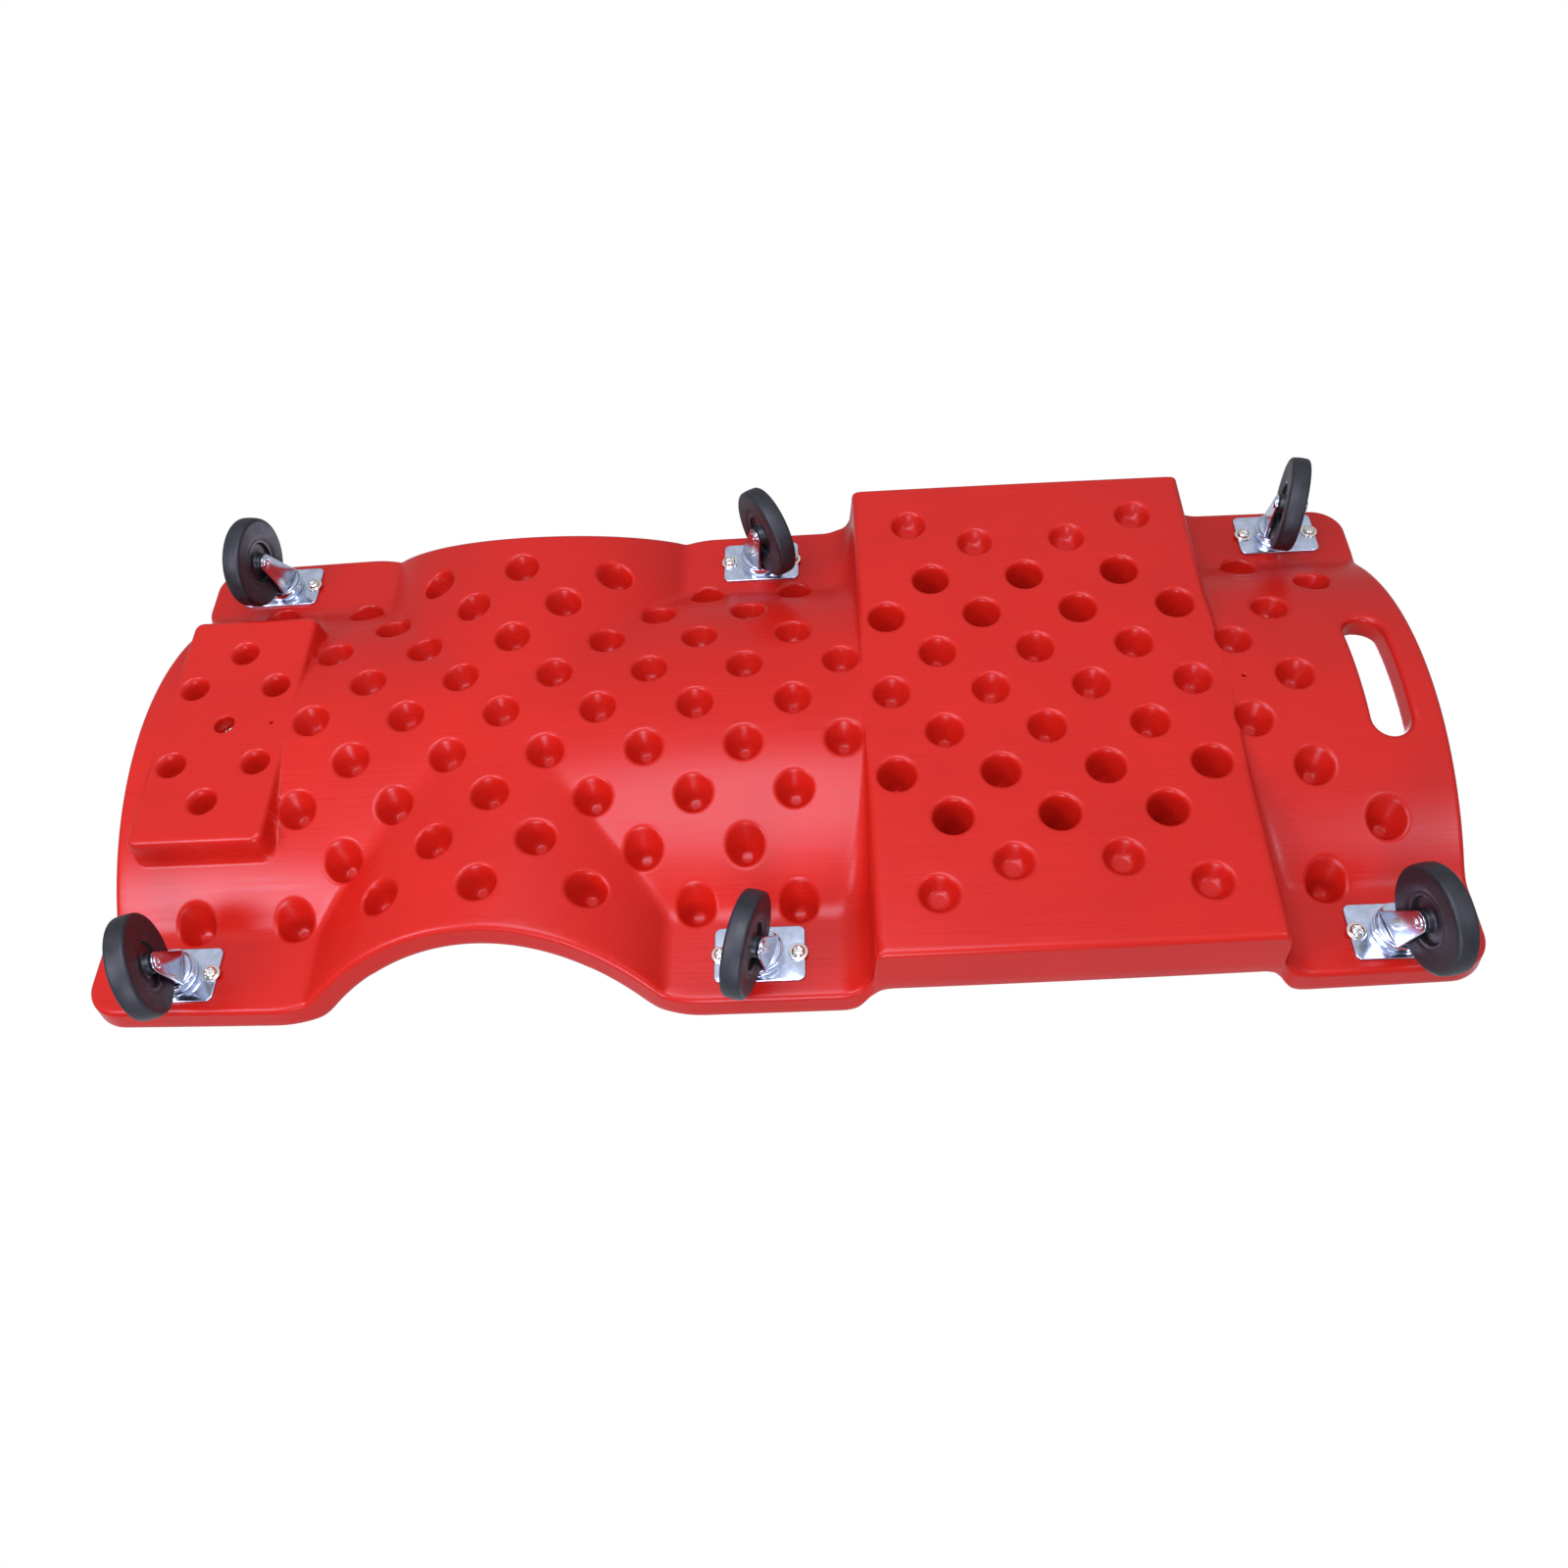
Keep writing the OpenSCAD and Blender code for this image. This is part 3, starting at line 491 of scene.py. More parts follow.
def underside_points(step, dimples, borders):
    """Plan points of the underside: rings round the dimples, the well, the vents and the head block, rows across the
    tray block's ends, and a grid between them all."""
    tip = TIP_D / 2 * np.array([0.34, 0.62, 0.92, 1.12])
    cone = [6.6, 8.8, 10.8, 12.4, 13.4, 14.1, 14.8, 15.5, 16.3, 17.2, 18.2]
    cones = rings(dimples, np.concatenate([tip, cone]), 28)
    well = rings(np.array([[SCREW_X, 0.0]]), [4, 6.4, 6.9, 7.2, 7.5, 7.9, 8.4, 9.2, 11], 32)
    vents = rings(np.array([[x, 0.0] for x in VENTS]), [0.7, 1.2, 1.5, 1.8, 2.3, 3.2], 16)
    low_corner = [6, 4.4, 3.2, 2, 1, 0.2, -0.6, -1.5, -2.4, -3.4]
    high_corner = [-4.6, -6, -7.6, -9.6, -12, -14.8, -18, -21.6, -25.5, -29.5]
    rows = crossings(inwards(BLOCK_X, low_corner + high_corner), np.arange(-210, 211, 5.0))
    head = [ring_round(HEAD_X, HEAD_FACE_Y, HEAD_CORNER_R, off) for off in HEAD_OFFSETS]
    lines = np.concatenate([rows, *head])
    lines = lines[nearest(lines, dimples)[0] > 17.6]
    grid = hex_grid(step)
    x, y = grid[:, 0], grid[:, 1]
    keep = nearest(grid, dimples)[0] > 19.5
    for hole_x, gap in ((SCREW_X, 13), (VENTS[0], 4.5), (VENTS[1], 4.5)):
        keep &= np.hypot(x - hole_x, y) > gap
    at_rows = np.minimum(np.abs(x - BLOCK_X[0] + 12), np.abs(x - BLOCK_X[1] - 12)) < 20
    keep &= ~(at_rows & (np.abs(y) < 212))
    keep &= np.abs(rect_distance(x, y, *HEAD_X, -HEAD_FACE_Y, HEAD_FACE_Y, HEAD_CORNER_R) - 1) > 6
    rest = [free(lines, borders, 2.0), free(grid[keep], borders, 2.5)]
    return np.concatenate([free(cones, borders, 1.2), well, vents, *rest])


def bed_points(step, dimples, borders):
    """Plan points of the bed: rings round the weld marks and along the trays' walls, rows across the ends of the tray
    block and of the headrest's seat, and a grid between them all."""
    marks = rings(dimples, [4.2, 5.2, 6.2, 7.4], 12)
    x, y = np.arange(TRAY_X[0] + 8, TRAY_X[1] - 7, 6.0), np.arange(120, 226, 5.0)
    end_y = y[(y > TRAY_Y[0] + 13) & (y < TRAY_Y[1] - 13)]
    left, right = TRAY_X[0] + TRAY_CORNER_R, TRAY_X[1] - TRAY_CORNER_R
    near, far = TRAY_Y[0] + TRAY_CORNER_R, TRAY_Y[1] - TRAY_CORNER_R
    tray = []
    for off in (-6, -4.4, -3, -1.8, -0.8, 0, 1.2, 2.2, 3.0, 3.8, 5, 6.5):
        tray += [crossings(x, [TRAY_Y[0] - off]), crossings(x, [TRAY_Y[1] + off])]
        tray += [crossings([TRAY_X[0] - off], end_y), crossings([TRAY_X[1] + off], end_y)]
        for cx, cy, start in ((left, near, 180), (right, near, 270), (right, far, 0), (left, far, 90)):
            tray.append(arc(cx, cy, TRAY_CORNER_R + off, start, start + 90, 3.5))
    tray = np.concatenate(tray)
    tray = np.concatenate([tray, tray * [1, -1]])
    end_x_rows = inwards(BLOCK_X, [7.5, 5.5, 4.4, 3.2, 1.8, 0.4, -1, -2.5, -4.5, -8, -12, -17, -23])
    block_ends = crossings(end_x_rows, np.concatenate([y, -y]))
    seat = crossings(inwards(SEAT_X, [6, 3.5, 1.5, 0, -1.5, -3, -4.5, -7]), np.arange(-102, 103, 6.0))
    marks = marks[nearest(marks, np.concatenate([tray, block_ends]))[0] > 3.4]
    grid = hex_grid(step * 1.35)
    keep = nearest(grid, dimples)[0] > 9.5
    for feature in (tray, block_ends, seat):
        keep &= nearest(grid, feature)[0] > 3.2
    margins = ((marks, 1.5), (tray, 1.0), (block_ends, 1.5), (seat, 2), (grid[keep], 3))
    return np.concatenate([free(points, borders, margin) for points, margin in margins])


def deck_skin(settings):
    """The whole skin: two triangulated sheets, the edge round the plan and the edge of the hand slot."""
    low_r, high_r, step = settings.lower_radius / MM, settings.upper_radius / MM, settings.grid / MM
    dimples = dimple_list()
    loop, hole = outline(), slot_loop()
    out, hole_out = normals_of(loop), normals_of(hole)
    x0, x1 = BLOCK_X[0] - 6, BLOCK_X[1] + 6
    at_block = smooth_step((loop[:, 0] - x0) / 9) * smooth_step((x1 - loop[:, 0]) / 9) * (np.abs(loop[:, 1]) > 200)
    draft = 2.0 + 3.0 * at_block
    borders = [loop - out * (low_r + draft)[:, None], hole + hole_out * (low_r + 1.0)]
    tops = [loop - out * high_r, hole + hole_out * high_r]
    low, low_faces = triangulate(underside_points(step, dimples, borders), borders)
    high, high_faces = triangulate(bed_points(step, dimples, tops), tops)
    parts = [
        (np.column_stack([low, underside(low, dimples)]), low_faces[:, ::-1]),
        (np.column_stack([high, bed(high, dimples)]), high_faces),
    ]
    for curve, normal, border, top, drafts in (
        (loop, out, borders[0], tops[0], draft),
        (hole, -hole_out, borders[1], tops[1], np.full(len(hole), 1.0)),
    ):
        rows = skirt(curve, normal, underside(border, dimples), bed(top, dimples), low_r, high_r, drafts)
        parts.append((rows.reshape(-1, 3), strip_faces(len(rows), len(curve))))
    return new_mesh("deck_skin", parts, merge=0.01)


# --- turned, bent and cut pieces ---


def softened(points, radii, steps=4):
    """A closed outline whose every corner p gives way to a curve from a to b, on its two sides and a radius off:
    (1 - t)2 a + 2t(1 - t) p + t2 b."""
    p = np.asarray(points, float)
    back, ahead = np.roll(p, 1, 0) - p, np.roll(p, -1, 0) - p
    back_l, ahead_l = np.linalg.norm(back, axis=1), np.linalg.norm(ahead, axis=1)
    r = np.minimum(radii, 0.48 * np.minimum(back_l, ahead_l))[:, None]
    a, b = p + back / back_l[:, None] * r, p + ahead / ahead_l[:, None] * r
    t = np.linspace(0, 1, steps)[None, :, None]
    return ((1 - t) ** 2 * a[:, None] + 2 * t * (1 - t) * p[:, None] + t * t * b[:, None]).reshape(-1, 2)


def both_sides(half, radii, steps=4):
    """A softened profile that is the same above and below height zero, from its lower half."""
    half = np.asarray(half, float)
    return softened(np.concatenate([half, half[::-1] * [1, -1]]), [*radii, *radii[::-1]], steps)


def lathe(profile, count=64):
    """A closed profile of (radius, height) points turned about the Z axis: r cos a, r sin a, z."""
    a = np.arange(count) * 2 * np.pi / count
    r, z = profile[:, :1], profile[:, 1:]
    points = np.stack([r * np.cos(a), r * np.sin(a), z + 0 * a], -1)
    return points.reshape(-1, 3), strip_faces(len(profile) + 1, count) % (len(profile) * count)


def round_rect(half_x, half_y, r, count=9):
    """A rectangle round the origin with round corners, counterclockwise."""
    a = np.radians(np.linspace(0, 90, count))
    corner = np.stack([half_x - r + r * np.cos(a), half_y - r + r * np.sin(a)], -1)
    flipped = corner[::-1] * [-1, 1]
    return np.concatenate([corner, flipped, -corner, -flipped])


def circle(x, y, r, count=40):
    """A counterclockwise circle."""
    a = np.arange(count) * 2 * np.pi / count
    return np.stack([x + r * np.cos(a), y + r * np.sin(a)], -1)


def slab(loops, z0, z1, r_low, r_high, points, relief):
    """A plate between two heights, inside the first loop and outside the others, with round edges.
    The relief, a function of the plan, is how far its lower face hangs below z0."""
    normals = [normals_of(loops[0])] + [-normals_of(loop) for loop in loops[1:]]
    parts = []
    for r, z, turn in ((r_low, z0, -1), (r_high, z1, 1)):
        verts, faces = triangulate(points, [loop - n * r for loop, n in zip(loops, normals)])
        height = z - relief(verts[:, 0], verts[:, 1]) if turn < 0 else np.full(len(verts), z)
        parts.append((np.column_stack([verts, height]), faces[:, ::turn]))
    for loop, n in zip(loops, normals):
        flat = np.ones(len(loop))
        rows = skirt(loop, n, z0 * flat, z1 * flat, r_low, r_high, 0 * flat)
        parts.append((rows.reshape(-1, 3), strip_faces(len(rows), len(loop))))
    return parts


def at_swivel(points, spot):
    """Turns points about a caster's swivel axis to where its wheel trails, and moves them there."""
    x, y, angle = CASTERS[spot]
    c, s = np.cos(np.radians(angle)), np.sin(np.radians(angle))
    px, py, pz = points.T
    return np.stack([x + c * px - s * py, y + s * px + c * py, pz], -1)


def on_axle(points):
    """Lays the axis of a turned shape across the fork, at the axle."""
    return np.stack([points[:, 0] + TRAIL, points[:, 2], points[:, 1] + AXLE_Z], -1)


def caster_plate(spot):
    """The pressed mounting plate with its ball race, a ring that stands 2 mm proud of it."""
    x, y, _ = CASTERS[spot]
    loops = [round_rect(PLATE_L / 2, PLATE_W / 2, PLATE_R), circle(0, 0, KINGPIN_R + 0.1)]
    loops += [circle(s * SCREW_GAP / 2, 0, 2.75, 24) for s in (-1, 1)]
    race = rings(np.zeros((1, 2)), [5.5, 7.0, 8.2, 8.6, 9.0, 9.4, 11, 14, 15.6, 16.0, 16.4, 16.8, 18.5], 64)[:-1]

    def relief(px, py):
        r = np.hypot(px, py)
        return 2.0 * smooth_step((16.8 - r) / 1.2) * smooth_step((r - 8.2) / 1.2)

    parts = slab(loops, PAD_Z - PLATE_T, PAD_Z, 0.8, 0.2, race, relief)
    return [(verts + [x, y, 0], faces) for verts, faces in parts]


def blank_edge(v, side):
    """Edge of the fork's flat blank at distance v from its middle. The blank is the hull of the crown's circle and
    the leg's tip, which is the union of every circle between the two."""
    t = np.linspace(0, 1, 160)[:, None]
    cx, cv = (TRAIL + 1.5) * t - 1.5, BLANK_TIP * t
    r = BLANK_R + (TIP_R - BLANK_R) * t
    reach = r * r - (v[None] - cv) ** 2
    return side * np.where(reach > 0, side * cx + np.sqrt(np.maximum(reach, 0)), -1e3).max(0)


def fork(spot):
    """The fork, one sheet bent from crown to legs: a flat, a quarter circle and a straight on each side, and the
    dished lower race on its crown."""
    tip = BLANK_TIP + TIP_R * np.sin(np.linspace(0.2, 1.555, 12))
    bend, leg = np.linspace(BLANK_FLAT, BLANK_LEG, 10), np.linspace(BLANK_LEG + 2, BLANK_TIP, 9)
    v = np.concatenate([[0.001, 2, 4], bend, leg, tip])
    v = np.concatenate([-v[::-1], v])
    side, far = np.sign(v), np.abs(v)
    angle = np.clip((far - BLANK_FLAT) / BEND_R, 0, np.pi / 2)
    y = np.minimum(far, BLANK_FLAT) + BEND_R * np.sin(angle)
    z = CROWN_Z - BEND_R * (1 - np.cos(angle)) - np.maximum(far - BLANK_LEG, 0)
    x0, x1 = blank_edge(far, -1), blank_edge(far, 1)
    a = np.linspace(0, np.pi / 2, 4)
    edge = 0.7
    inset, depth = edge * (1 - np.cos(a)), edge * (1 - np.sin(a))
    inset = np.concatenate([inset, inset[::-1], inset, inset[::-1]])
    depth = np.concatenate([depth, depth[::-1], FORK_T - depth, FORK_T - depth[::-1]])
    hand = np.repeat([-1, 1, 1, -1], len(a))
    half, middle = (x1 - x0)[:, None] / 2, (x1 + x0)[:, None] / 2
    x = middle + hand * (half - inset * np.minimum(1, 0.9 * half / edge))
    sheet_y = side[:, None] * (y[:, None] - depth * np.sin(angle)[:, None])
    sheet = np.stack([x, sheet_y, z[:, None] - depth * np.cos(angle)[:, None]], -1)
    sheet = at_swivel(sheet.reshape(-1, 3), spot)
    race = [(4.05, 80.5), (12.0, 80.5), (15.9, 81.3), (15.9, 82.5), (4.05, 82.5)]
    dish, dish_faces = lathe(softened(race, [0.2, 3.0, 0.8, 0.3, 0.2]))
    count = len(hand)
    ends = [(end, [list(range(count))]) for end in (sheet[:count], sheet[-count:])]
    return [(sheet, strip_faces(len(v), count)), *ends, (at_swivel(dish, spot), dish_faces)]


def turned(profile, spot, count=64, axle=False):
    """A turned piece of a caster, about its swivel axis or its axle."""
    verts, faces = lathe(profile, count)
    return [(at_swivel(on_axle(verts) if axle else verts, spot), faces)]


def race_cover(spot):
    """The bright ring round the balls: a wall that hangs from a lip under the crown's edge."""
    lip = [(COVER_R - 1.2, COVER_Z), (COVER_R, COVER_Z), (COVER_R, 81.7), (COVER_R - 1.1, 81.7), (COVER_R - 1.1, 82.6)]
    lip += [(15.2, 82.6), (15.2, 83.5), (COVER_R - 1.2, 83.5)]
    return turned(softened(lip, [0.3, 0.4, 0.6, 0.4, 0.3, 0.2, 0.2, 0.5]), spot, 96)


def kingpin(spot):
    """The kingpin's shank and its domed head, a cap of a sphere."""
    r = (DOME_R**2 + DOME_H**2) / (2 * DOME_H)
    a = np.linspace(0, np.arcsin(DOME_R / r), 14)
    cap = np.stack([r * np.sin(a), DOME_Z - DOME_H + r - r * np.cos(a)], -1)
    return turned(np.concatenate([cap, [(KINGPIN_R, DOME_Z), (KINGPIN_R, PAD_Z - 0.2), (0, PAD_Z - 0.2)]]), spot, 48)


def axle(spot):
    """The tubular axle rivet, each end rolled over the leg into a ring."""
    half = LEG_IN + FORK_T
    ring = [(1.6, -0.7), (2.1, -1.3), (4.0, -1.3), (4.8, -0.5), (4.8, 0), (AXLE_R, 0)]
    ends = both_sides([(r, z - half) for r, z in ring], [0.3, 0.5, 0.9, 0.6, 0.1, 0.1])
    return turned(ends, spot, 40, True)


def wheel_core(spot):
    """The moulded core: hub, recessed web and the rim under the tyre."""
    half = [(AXLE_R + 0.05, -9.4), (7.4, -9.4), (8.2, -4.4), (RECESS_R - 0.8, -4.0), (RECESS_R, -6.6), (20.1, -6.6)]
    return turned(both_sides(half, [0.3, 1.0, 1.6, 1.6, 0.6, 0.1]), spot, 80, True)


def tyre(spot):
    """The tyre: a slightly crowned tread, round shoulders and sides that draw in towards the core."""
    half = TYRE_W / 2
    side = [(19.9, -half + 1.1), (23.5, -half + 0.25), (31.0, -half), (WHEEL_R - 0.5, -half), (WHEEL_R, -0.6)]
    return turned(both_sides(side, [0.5, 2.5, 3.5, 5.6, 0.5], 7), spot, 128, True)


def screw(head_r, head_h, shank_r, shank_l, count=56):
    """A screw whose head hangs below height zero: the head is a superellipse, (r/R)^2.4 + (z/H)^2.4 = 1, and its
    recess the deeper of two tapered slots that cross."""

    def within(v, reach, fade):
        """One within a reach of the head's middle, falling to zero over a fade, both as shares of its radius."""
        return smooth_step((reach * head_r - np.abs(v)) / (fade * head_r))

    a = np.arange(count) * 2 * np.pi / count
    share = np.sin(np.linspace(0, np.pi / 2, 22))[:, None]
    x, y = head_r * share * np.cos(a), head_r * share * np.sin(a)
    slots = [within(v, 0.2, 0.1) * within(u, 0.6, 0.14) for u, v in ((x, y), (y, x))]
    z = -head_h * (1 - share**2.4) ** (1 / 2.4) + 0.55 * head_h * np.maximum(*slots)
    rows = np.stack([x, y, z], -1)
    stem = np.array([(shank_r, 0), (shank_r, shank_l - 1), (shank_r * 0.7, shank_l), (0, shank_l)])
    shank = np.stack([stem[:, :1] * np.cos(a), stem[:, :1] * np.sin(a), stem[:, 1:] + 0 * a], -1)
    return np.concatenate([rows, shank]).reshape(-1, 3), strip_faces(len(rows) + len(stem), count)


def screw_places():
    """Where the caster screws are, two to a plate."""
    return [(x + s * SCREW_GAP / 2, y) for x, y, _ in CASTERS.values() for s in (-1, 1)]


def caster_screws():
    """All the caster screws, each turned a little further than the last."""
    parts = []
    for i, (x, y) in enumerate(screw_places()):
        verts, faces = screw(5.0, 3.2, 2.4, SCREW_L)
        c, s = np.cos(i * 0.7), np.sin(i * 0.7)
        turned_verts = verts @ np.array([[c, s, 0], [-s, c, 0], [0, 0, 1]])
        parts.append((turned_verts + [x, y, PAD_Z - PLATE_T - WASHER_T], faces))
    return parts


def caster_washers():
    """The washers between the screws' heads and the plates."""
    z = PAD_Z - PLATE_T
    profile = softened([(2.8, z), (2.8, z - WASHER_T), (WASHER_R, z - WASHER_T), (WASHER_R, z)], [0.1, 0.3, 0.5, 0.1])
    verts, faces = lathe(profile, 48)
    return [(verts + [x, y, 0], faces) for x, y in screw_places()]


def headrest_board():
    """The cushion's base board with its screw hole."""
    loops = [round_rect(CUSHION_L / 2, CUSHION_W / 2, 8.0), circle(0, 0, 3.1, 24)]
    parts = slab(loops, SEAT_Z, BOARD_TOP, 1.0, 0.6, np.zeros((0, 2)), lambda x, y: 0 * x)
    return [(verts + [SCREW_X, 0, 0], faces) for verts, faces in parts]


def pad_form(u, w, grow):
    """A pad over a soft-cornered rectangle: angle u round it, and w from 0 at the board to 1 at the crown. The
    outline is a superellipse, the side bulges by a sine and the top is crowned by a parabola."""
    side, top = np.clip(w / 0.5, 0, 1), np.clip((w - 0.5) / 0.5, 0, 1)
    share = (0.965 + 0.035 * np.sin(np.pi * side**0.8)) * np.sqrt(np.maximum(1 - top**2.2, 0)) ** 0.7
    soft_x, soft_y = (np.sign(v) * np.abs(v) ** 0.3 for v in (np.cos(u), np.sin(u)))
    crown = CUSHION_H * 0.34
    x = SCREW_X + (CUSHION_L / 2 + grow) * share * soft_x
    y = (CUSHION_W / 2 + grow) * share * soft_y
    z = BOARD_TOP + (CUSHION_H - crown + grow) * side + crown * (1 - (1 - top) ** 2)
    return np.stack([x, y, z + 0 * u], -1)


def headrest_cushion(settings):
    """The pad: a closed form that is remeshed evenly, and whose cover is then blown up as cloth, down to the board."""
    count = 96
    u = np.arange(count) * 2 * np.pi / count
    w = np.concatenate([np.linspace(0, 0.5, 12), 0.5 + 0.5 * np.sin(np.linspace(0, np.pi / 2, 16))[1:]])[:, None]
    rows = pad_form(u[None], w, -2.0)
    base = rows[:1] + (np.array([SCREW_X, 0, BOARD_TOP]) - rows[:1]) * np.linspace(1, 0, 8)[:-1, None, None]
    rows = np.concatenate([base, rows])
    pad = new_mesh("headrest_pad", [(rows.reshape(-1, 3), strip_faces(len(rows), count))], merge=0.01)
    even = pad.modifiers.new("even", "REMESH")
    even.mode, even.voxel_size = "VOXEL", 4.5 * MM
    bake(pad)
    inflate(pad, settings.pressure, settings.swell / MM)
    smooth = pad.modifiers.new("smooth", "SUBSURF")
    smooth.levels = smooth.render_levels = 1
    bake(pad)
    pad.data.shade_smooth()
    return pad


def bake(piece):
    """Applies a piece's modifiers."""
    made = bpy.data.meshes.new_from_object(piece.evaluated_get(bpy.context.evaluated_depsgraph_get()))
    piece.modifiers.clear()
    piece.data = made


def coordinates(mesh):
    """The vertices of a mesh, in millimetres."""
    flat = np.empty(len(mesh.vertices) * 3)
    mesh.vertices.foreach_get("co", flat)
    return flat.reshape(-1, 3) / MM


def inflate(pad, pressure, swell):
    """Blows up the cover as cloth that is held where it lies on the board, and caps how far it goes."""
    frames = 20
    start = coordinates(pad.data)
    held = pad.vertex_groups.new(name="held")
    held.add(np.flatnonzero(start[:, 2] < BOARD_TOP + 1.5).tolist(), 1.0, "REPLACE")
    cloth = pad.modifiers.new("cover", "CLOTH")
    cloth.settings.quality = 6
    cloth.settings.mass = 0.3
    cloth.settings.tension_stiffness = cloth.settings.compression_stiffness = 25
    cloth.settings.bending_stiffness = 2
    cloth.settings.vertex_group_mass = "held"
    cloth.settings.use_pressure = True
    cloth.settings.uniform_pressure_force = pressure
    cloth.settings.effector_weights.gravity = 0
    cloth.point_cache.frame_start, cloth.point_cache.frame_end = 1, frames
    for frame_number in range(1, frames + 1):
        bpy.context.scene.frame_set(frame_number)
    blown = coordinates(pad.evaluated_get(bpy.context.evaluated_depsgraph_get()).data)
    pad.modifiers.clear()
    move = blown - start
    far = np.linalg.norm(move, axis=1, keepdims=True)
    end = start + move * np.minimum(1, swell / np.maximum(far, 1e-6))
    end[:, 2] = np.clip(end[:, 2], BOARD_TOP + 0.1, BOARD_TOP + CUSHION_H)
    pad.data.vertices.foreach_set("co", (end * MM).ravel())
    pad.data.update()
    bpy.context.scene.frame_set(1)


def headrest_piping(pad):
    """A welt sewn into the cover where its top meets its sides: a round section carried along the pad's own surface."""
    count, sides, radius = 160, 12, 1.5
    tree = BVHTree.FromObject(pad, bpy.context.evaluated_depsgraph_get())
    u = np.arange(count) * 2 * np.pi / count
    guide = pad_form(u, np.full_like(u, 0.52), 3.0)
    path = np.array([tree.find_nearest(Vector(p * MM))[0][:] for p in guide]) / MM
    for _ in range(3):
        path = (np.roll(path, 1, 0) + 2 * path + np.roll(path, -1, 0)) / 4
    along = np.roll(path, -1, 0) - np.roll(path, 1, 0)
    along /= np.linalg.norm(along, axis=1, keepdims=True)
    out = np.cross(along, [0, 0, 1.0])
    out /= np.linalg.norm(out, axis=1, keepdims=True)
    up = np.cross(out, along)
    a = np.arange(sides)[:, None, None] * 2 * np.pi / sides
    rows = path + radius * (np.cos(a) * out + np.sin(a) * up)
    return [(rows.reshape(-1, 3), strip_faces(sides + 1, count) % (sides * count))]


# --- materials ---


def plug(tree, target, **inputs):
    """Sets a node's inputs, and links those given a socket. An input goes by its name or, as i2, by its number."""
    for key, value in inputs.items():
        numbered = key[0] == "i" and key[1:].isdigit()
        socket = target.inputs[int(key[1:]) if numbered else key.replace("_", " ")]
        if isinstance(value, bpy.types.NodeSocket):
            tree.links.new(value, socket)
        else:
            socket.default_value = value
    return target


def node(tree, kind, settings=(), **inputs):
    """Adds a node, sets its properties and plugs in its inputs."""
    made = tree.nodes.new(kind)
    for key, value in dict(settings).items():
        setattr(made, key, value)
    return plug(tree, made, **inputs)


def noise(tree, mm, scale, detail, roughness=0.5):
    """Soft noise, its scale in patches to the millimetre."""
    return node(tree, "ShaderNodeTexNoise", Vector=mm, Scale=scale, Detail=detail, Roughness=roughness).outputs["Fac"]


def ranged(tree, value, low, high, to_low, to_high):
    """A value, with the range from low to high carried to another range."""
    return node(tree, "ShaderNodeMapRange", Value=value, i1=low, i2=high, i3=to_low, i4=to_high).outputs["Result"]


def shaded(tree, colour, value):
    """A colour, lighter and darker by a value."""
    return node(tree, "ShaderNodeHueSaturation", Color=(*colour, 1), Value=value).outputs["Color"]


def bumped(tree, height, strength, distance):
    """A normal that follows a height."""
    return node(tree, "ShaderNodeBump", Height=height, Strength=strength, Distance=distance).outputs["Normal"]


def combined(tree, operation, a, b):
    """Two values combined by an operation."""
    return node(tree, "ShaderNodeMath", {"operation": operation}, i0=a, i1=b).outputs[0]


def new_material(name):
    """An empty material with a Principled shader, and its tree, shader and coordinates in millimetres."""
    material = bpy.data.materials.new(name)
    material.use_nodes = True
    tree = material.node_tree
    shader = tree.nodes["Principled BSDF"]
    place = node(tree, "ShaderNodeTexCoord")
    scaled = node(tree, "ShaderNodeMapping", Vector=place.outputs["Object"], Scale=(1000, 1000, 1000))
    return material, tree, shader, scaled.outputs["Vector"]


def moulded_polyethylene(colour):
    """Blow-moulded polyethylene: a waxy, softly shining skin with fine drag lines along the deck from the mould."""
    material, tree, shader, mm = new_material("moulded_polyethylene")
    drag = node(tree, "ShaderNodeMapping", Vector=mm, Scale=(0.012, 0.6, 0.6))
    lines = noise(tree, drag.outputs["Vector"], 1.0, 4.0, 0.65)
    streak = ranged(tree, lines, 0.35, 0.65, 0.96, 1.03)
    blotch = ranged(tree, noise(tree, mm, 0.011, 2.0), 0.3, 0.7, 0.95, 1.05)
    plug(tree, shader, Base_Color=shaded(tree, colour, combined(tree, "MULTIPLY", streak, blotch)))
    plug(tree, shader, Roughness=ranged(tree, lines, 0.3, 0.7, 0.25, 0.35), Specular_IOR_Level=0.27)
    plug(tree, shader, Normal=bumped(tree, lines, 0.2, 0.0002))
    return material


def plated_steel(name, hex_colour, roughness, grain_mm=0.8, spangle_mm=0.0):
    """Plated steel: bright, with a fine uneven grain in its roughness, and faint cloudy patches in the plating."""
    material, tree, shader, mm = new_material(name)
    grain = noise(tree, mm, 1 / grain_mm, 4.0)
    colour = linear(hex_colour)
    plug(tree, shader, Base_Color=(*colour, 1), Metallic=1.0)
    plug(tree, shader, Roughness=ranged(tree, grain, 0.3, 0.7, roughness * 0.7, roughness * 1.3))
    if spangle_mm:
        cloud = ranged(tree, noise(tree, mm, 1 / spangle_mm, 3.0), 0.35, 0.65, 0.86, 1.08)
        plug(tree, shader, Base_Color=shaded(tree, colour, cloud))
    return material


def plain_plastic(name, hex_colour, roughness, grain_mm=1.5):
    """Moulded plastic: matt, with a fine grain."""
    material, tree, shader, mm = new_material(name)
    grain = noise(tree, mm, 1 / grain_mm, 4.0)
    gloss = ranged(tree, grain, 0.3, 0.7, roughness - 0.06, roughness + 0.06)
    plug(tree, shader, Base_Color=(*linear(hex_colour), 1), Roughness=gloss)
    return material


